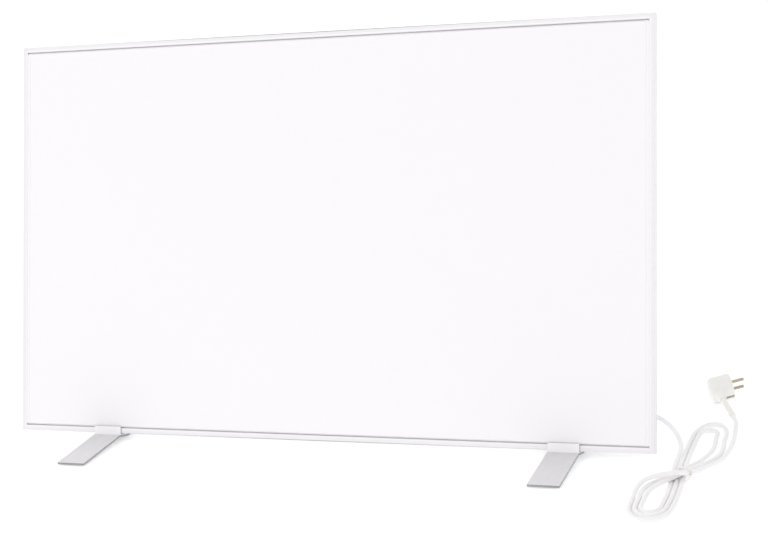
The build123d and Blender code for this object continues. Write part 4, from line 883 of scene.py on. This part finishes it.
def line_points(piece):
    """Points along a curve's own line, in millimetres, read from a copy with no section."""
    plain = piece.data.copy()
    plain.bevel_depth = 0.0
    holder = bpy.data.objects.new("line", plain)
    bpy.context.scene.collection.objects.link(holder)
    bpy.context.view_layer.update()
    evaluated = holder.evaluated_get(bpy.context.evaluated_depsgraph_get())
    mesh = bpy.data.meshes.new_from_object(evaluated)
    points = np.zeros(len(mesh.vertices) * 3)
    mesh.vertices.foreach_get("co", points)
    bpy.data.objects.remove(holder)
    bpy.data.meshes.remove(mesh)
    bpy.data.curves.remove(plain)
    return points.reshape(-1, 3) / MM


lead_line = line_points(cord)
lead_length = np.linalg.norm(np.diff(lead_line, axis=0), axis=1).sum()
offset = lead_line - TIE_MIDDLE
along_tie, across_tie = offset @ TIE_WAY, offset @ TIE_SIDE
in_tie = (np.abs(along_tie) < TIE_WIDTH / 2 + 0.5) & (np.abs(across_tie) < TIE_REACH)
strands = np.column_stack([across_tie[in_tie], lead_line[in_tie, 2]])
print("lead's line", round(float(lead_length), 1), "mm; samples in the tie", len(strands),
      "across", strands[:, 0].min().round(1), strands[:, 0].max().round(1),
      "high", strands[:, 1].min().round(1), strands[:, 1].max().round(1))


# %% [markdown]
# The band is the outline at a few distances from the strands: out over its outer skin, which
# is a little hollow like a flat wire's, and back on its inner skin. The twist has a section
# with two lobes that turns as it goes, and sags a little towards its tip.

# %% Tie band and twist
def tie_outline(extra, count=96):
    """The closed line round the strands: support h of each direction n is the greatest
    strand times n, plus radius and extra, and the point is h times n plus h's slope times
    the direction square to n."""
    angle = np.linspace(0, 2 * math.pi, count, endpoint=False)
    fine = np.linspace(0, 2 * math.pi, count * 8, endpoint=False)
    normal = np.column_stack([np.cos(fine), np.sin(fine)])
    support = (strands @ normal.T).max(axis=0)
    weights = np.hanning(33)
    around = np.concatenate([support[-40:], support, support[:40]])
    support = np.convolve(around, weights / weights.sum(), mode="same")[40:-40]
    support = support + CORD_DIAMETER / MM / 2 + extra
    slope = np.gradient(np.concatenate([support[-2:], support, support[:2]]), fine[1])[2:-2]
    x = support * np.cos(fine) - slope * np.sin(fine)
    y = support * np.sin(fine) + slope * np.cos(fine)
    return x[::8], y[::8], angle


def tie_band():
    """Stations along the tie's way carry the outline: outward over the band's outer skin and
    back on its inner skin, so that the rings close into a tube-like band."""
    across_band = np.array([-0.5, -0.47, -0.40, -0.2, 0.0, 0.2, 0.40, 0.47, 0.5])
    lift = np.array([0.25, 0.75, 0.95, 1.0, 0.92, 1.0, 0.95, 0.75, 0.25])
    steps = [(a * TIE_WIDTH, TIE_GAP + h * TIE_THICKNESS) for a, h in zip(across_band, lift)]
    steps += [(a * TIE_WIDTH, TIE_GAP) for a in across_band[::-1]]
    loops = []
    for along, extra in steps:
        x, z, angle = tie_outline(extra)
        wave = along + 0.35 * np.sin(angle + 0.7)
        place = TIE_MIDDLE + x[:, None] * TIE_SIDE + wave[:, None] * TIE_WAY
        place[:, 2] = np.maximum(z, 0.1)
        loops.append(place)
    return np.array(loops) * MM


band_loops = tie_band()
sections, around_band = band_loops.shape[:2]
station, place = np.meshgrid(np.arange(sections), np.arange(around_band), indexing="ij")
corner = station * around_band + place
band_quads = np.stack([
    corner, station * around_band + (place + 1) % around_band,
    ((station + 1) % sections) * around_band + (place + 1) % around_band,
    ((station + 1) % sections) * around_band + place], axis=-1).reshape(-1, 4).tolist()
tie = piece_from("hank_tie", band_loops, band_quads, "panel", "tie_paper", sharp=60.0)
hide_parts("cord_tie")


def twist_piece(name, start, way, length, turns, body, slot_name):
    """Two flat wires twisted together: a section with two lobes whose angle grows along the
    way, and whose size falls to a rounded tip."""
    s = np.linspace(0.0, 1.0, 90)
    angle = np.linspace(0, 2 * math.pi, 28, endpoint=False)
    way = np.asarray(way, float) / np.linalg.norm(way)
    across = np.cross(way, [0.0, 0.0, 1.0])
    across /= np.linalg.norm(across)
    up = np.cross(across, way)
    size = np.sqrt(np.clip(1 - ((s - 0.93) / 0.07).clip(0, 1) ** 2, 0.02, 1)) * (0.85 + 0.15 * s)
    lobes = 1.05 + 0.55 * np.cos(2 * (angle[None] - 2 * math.pi * turns * s[:, None]))
    radius = size[:, None] * lobes
    sag = np.column_stack([np.zeros_like(s), np.zeros_like(s), -2.2 * s**2])
    rings = (start + (s * length)[:, None] * way + sag)[:, None] + radius[..., None] * (
        np.cos(angle)[None, :, None] * across + np.sin(angle)[None, :, None] * up)
    return rings_piece(name, rings * MM, body, slot_name, sharp=60.0)


tie_top = band_loops.reshape(-1, 3)[:, 2].max() / MM
twist_start = TIE_MIDDLE + 1.0 * TIE_SIDE + np.array([0, 0, tie_top + 0.2])
twist = twist_piece("hank_tie_twist", twist_start, TIE_SIDE * 0.95 + TIE_WAY * 0.2 + [0, 0, -0.16],
                    13.0, 3.5, "panel", "tie_paper")
twist.parent = tie
print("tie top", round(float(tie_top), 2), "mm")
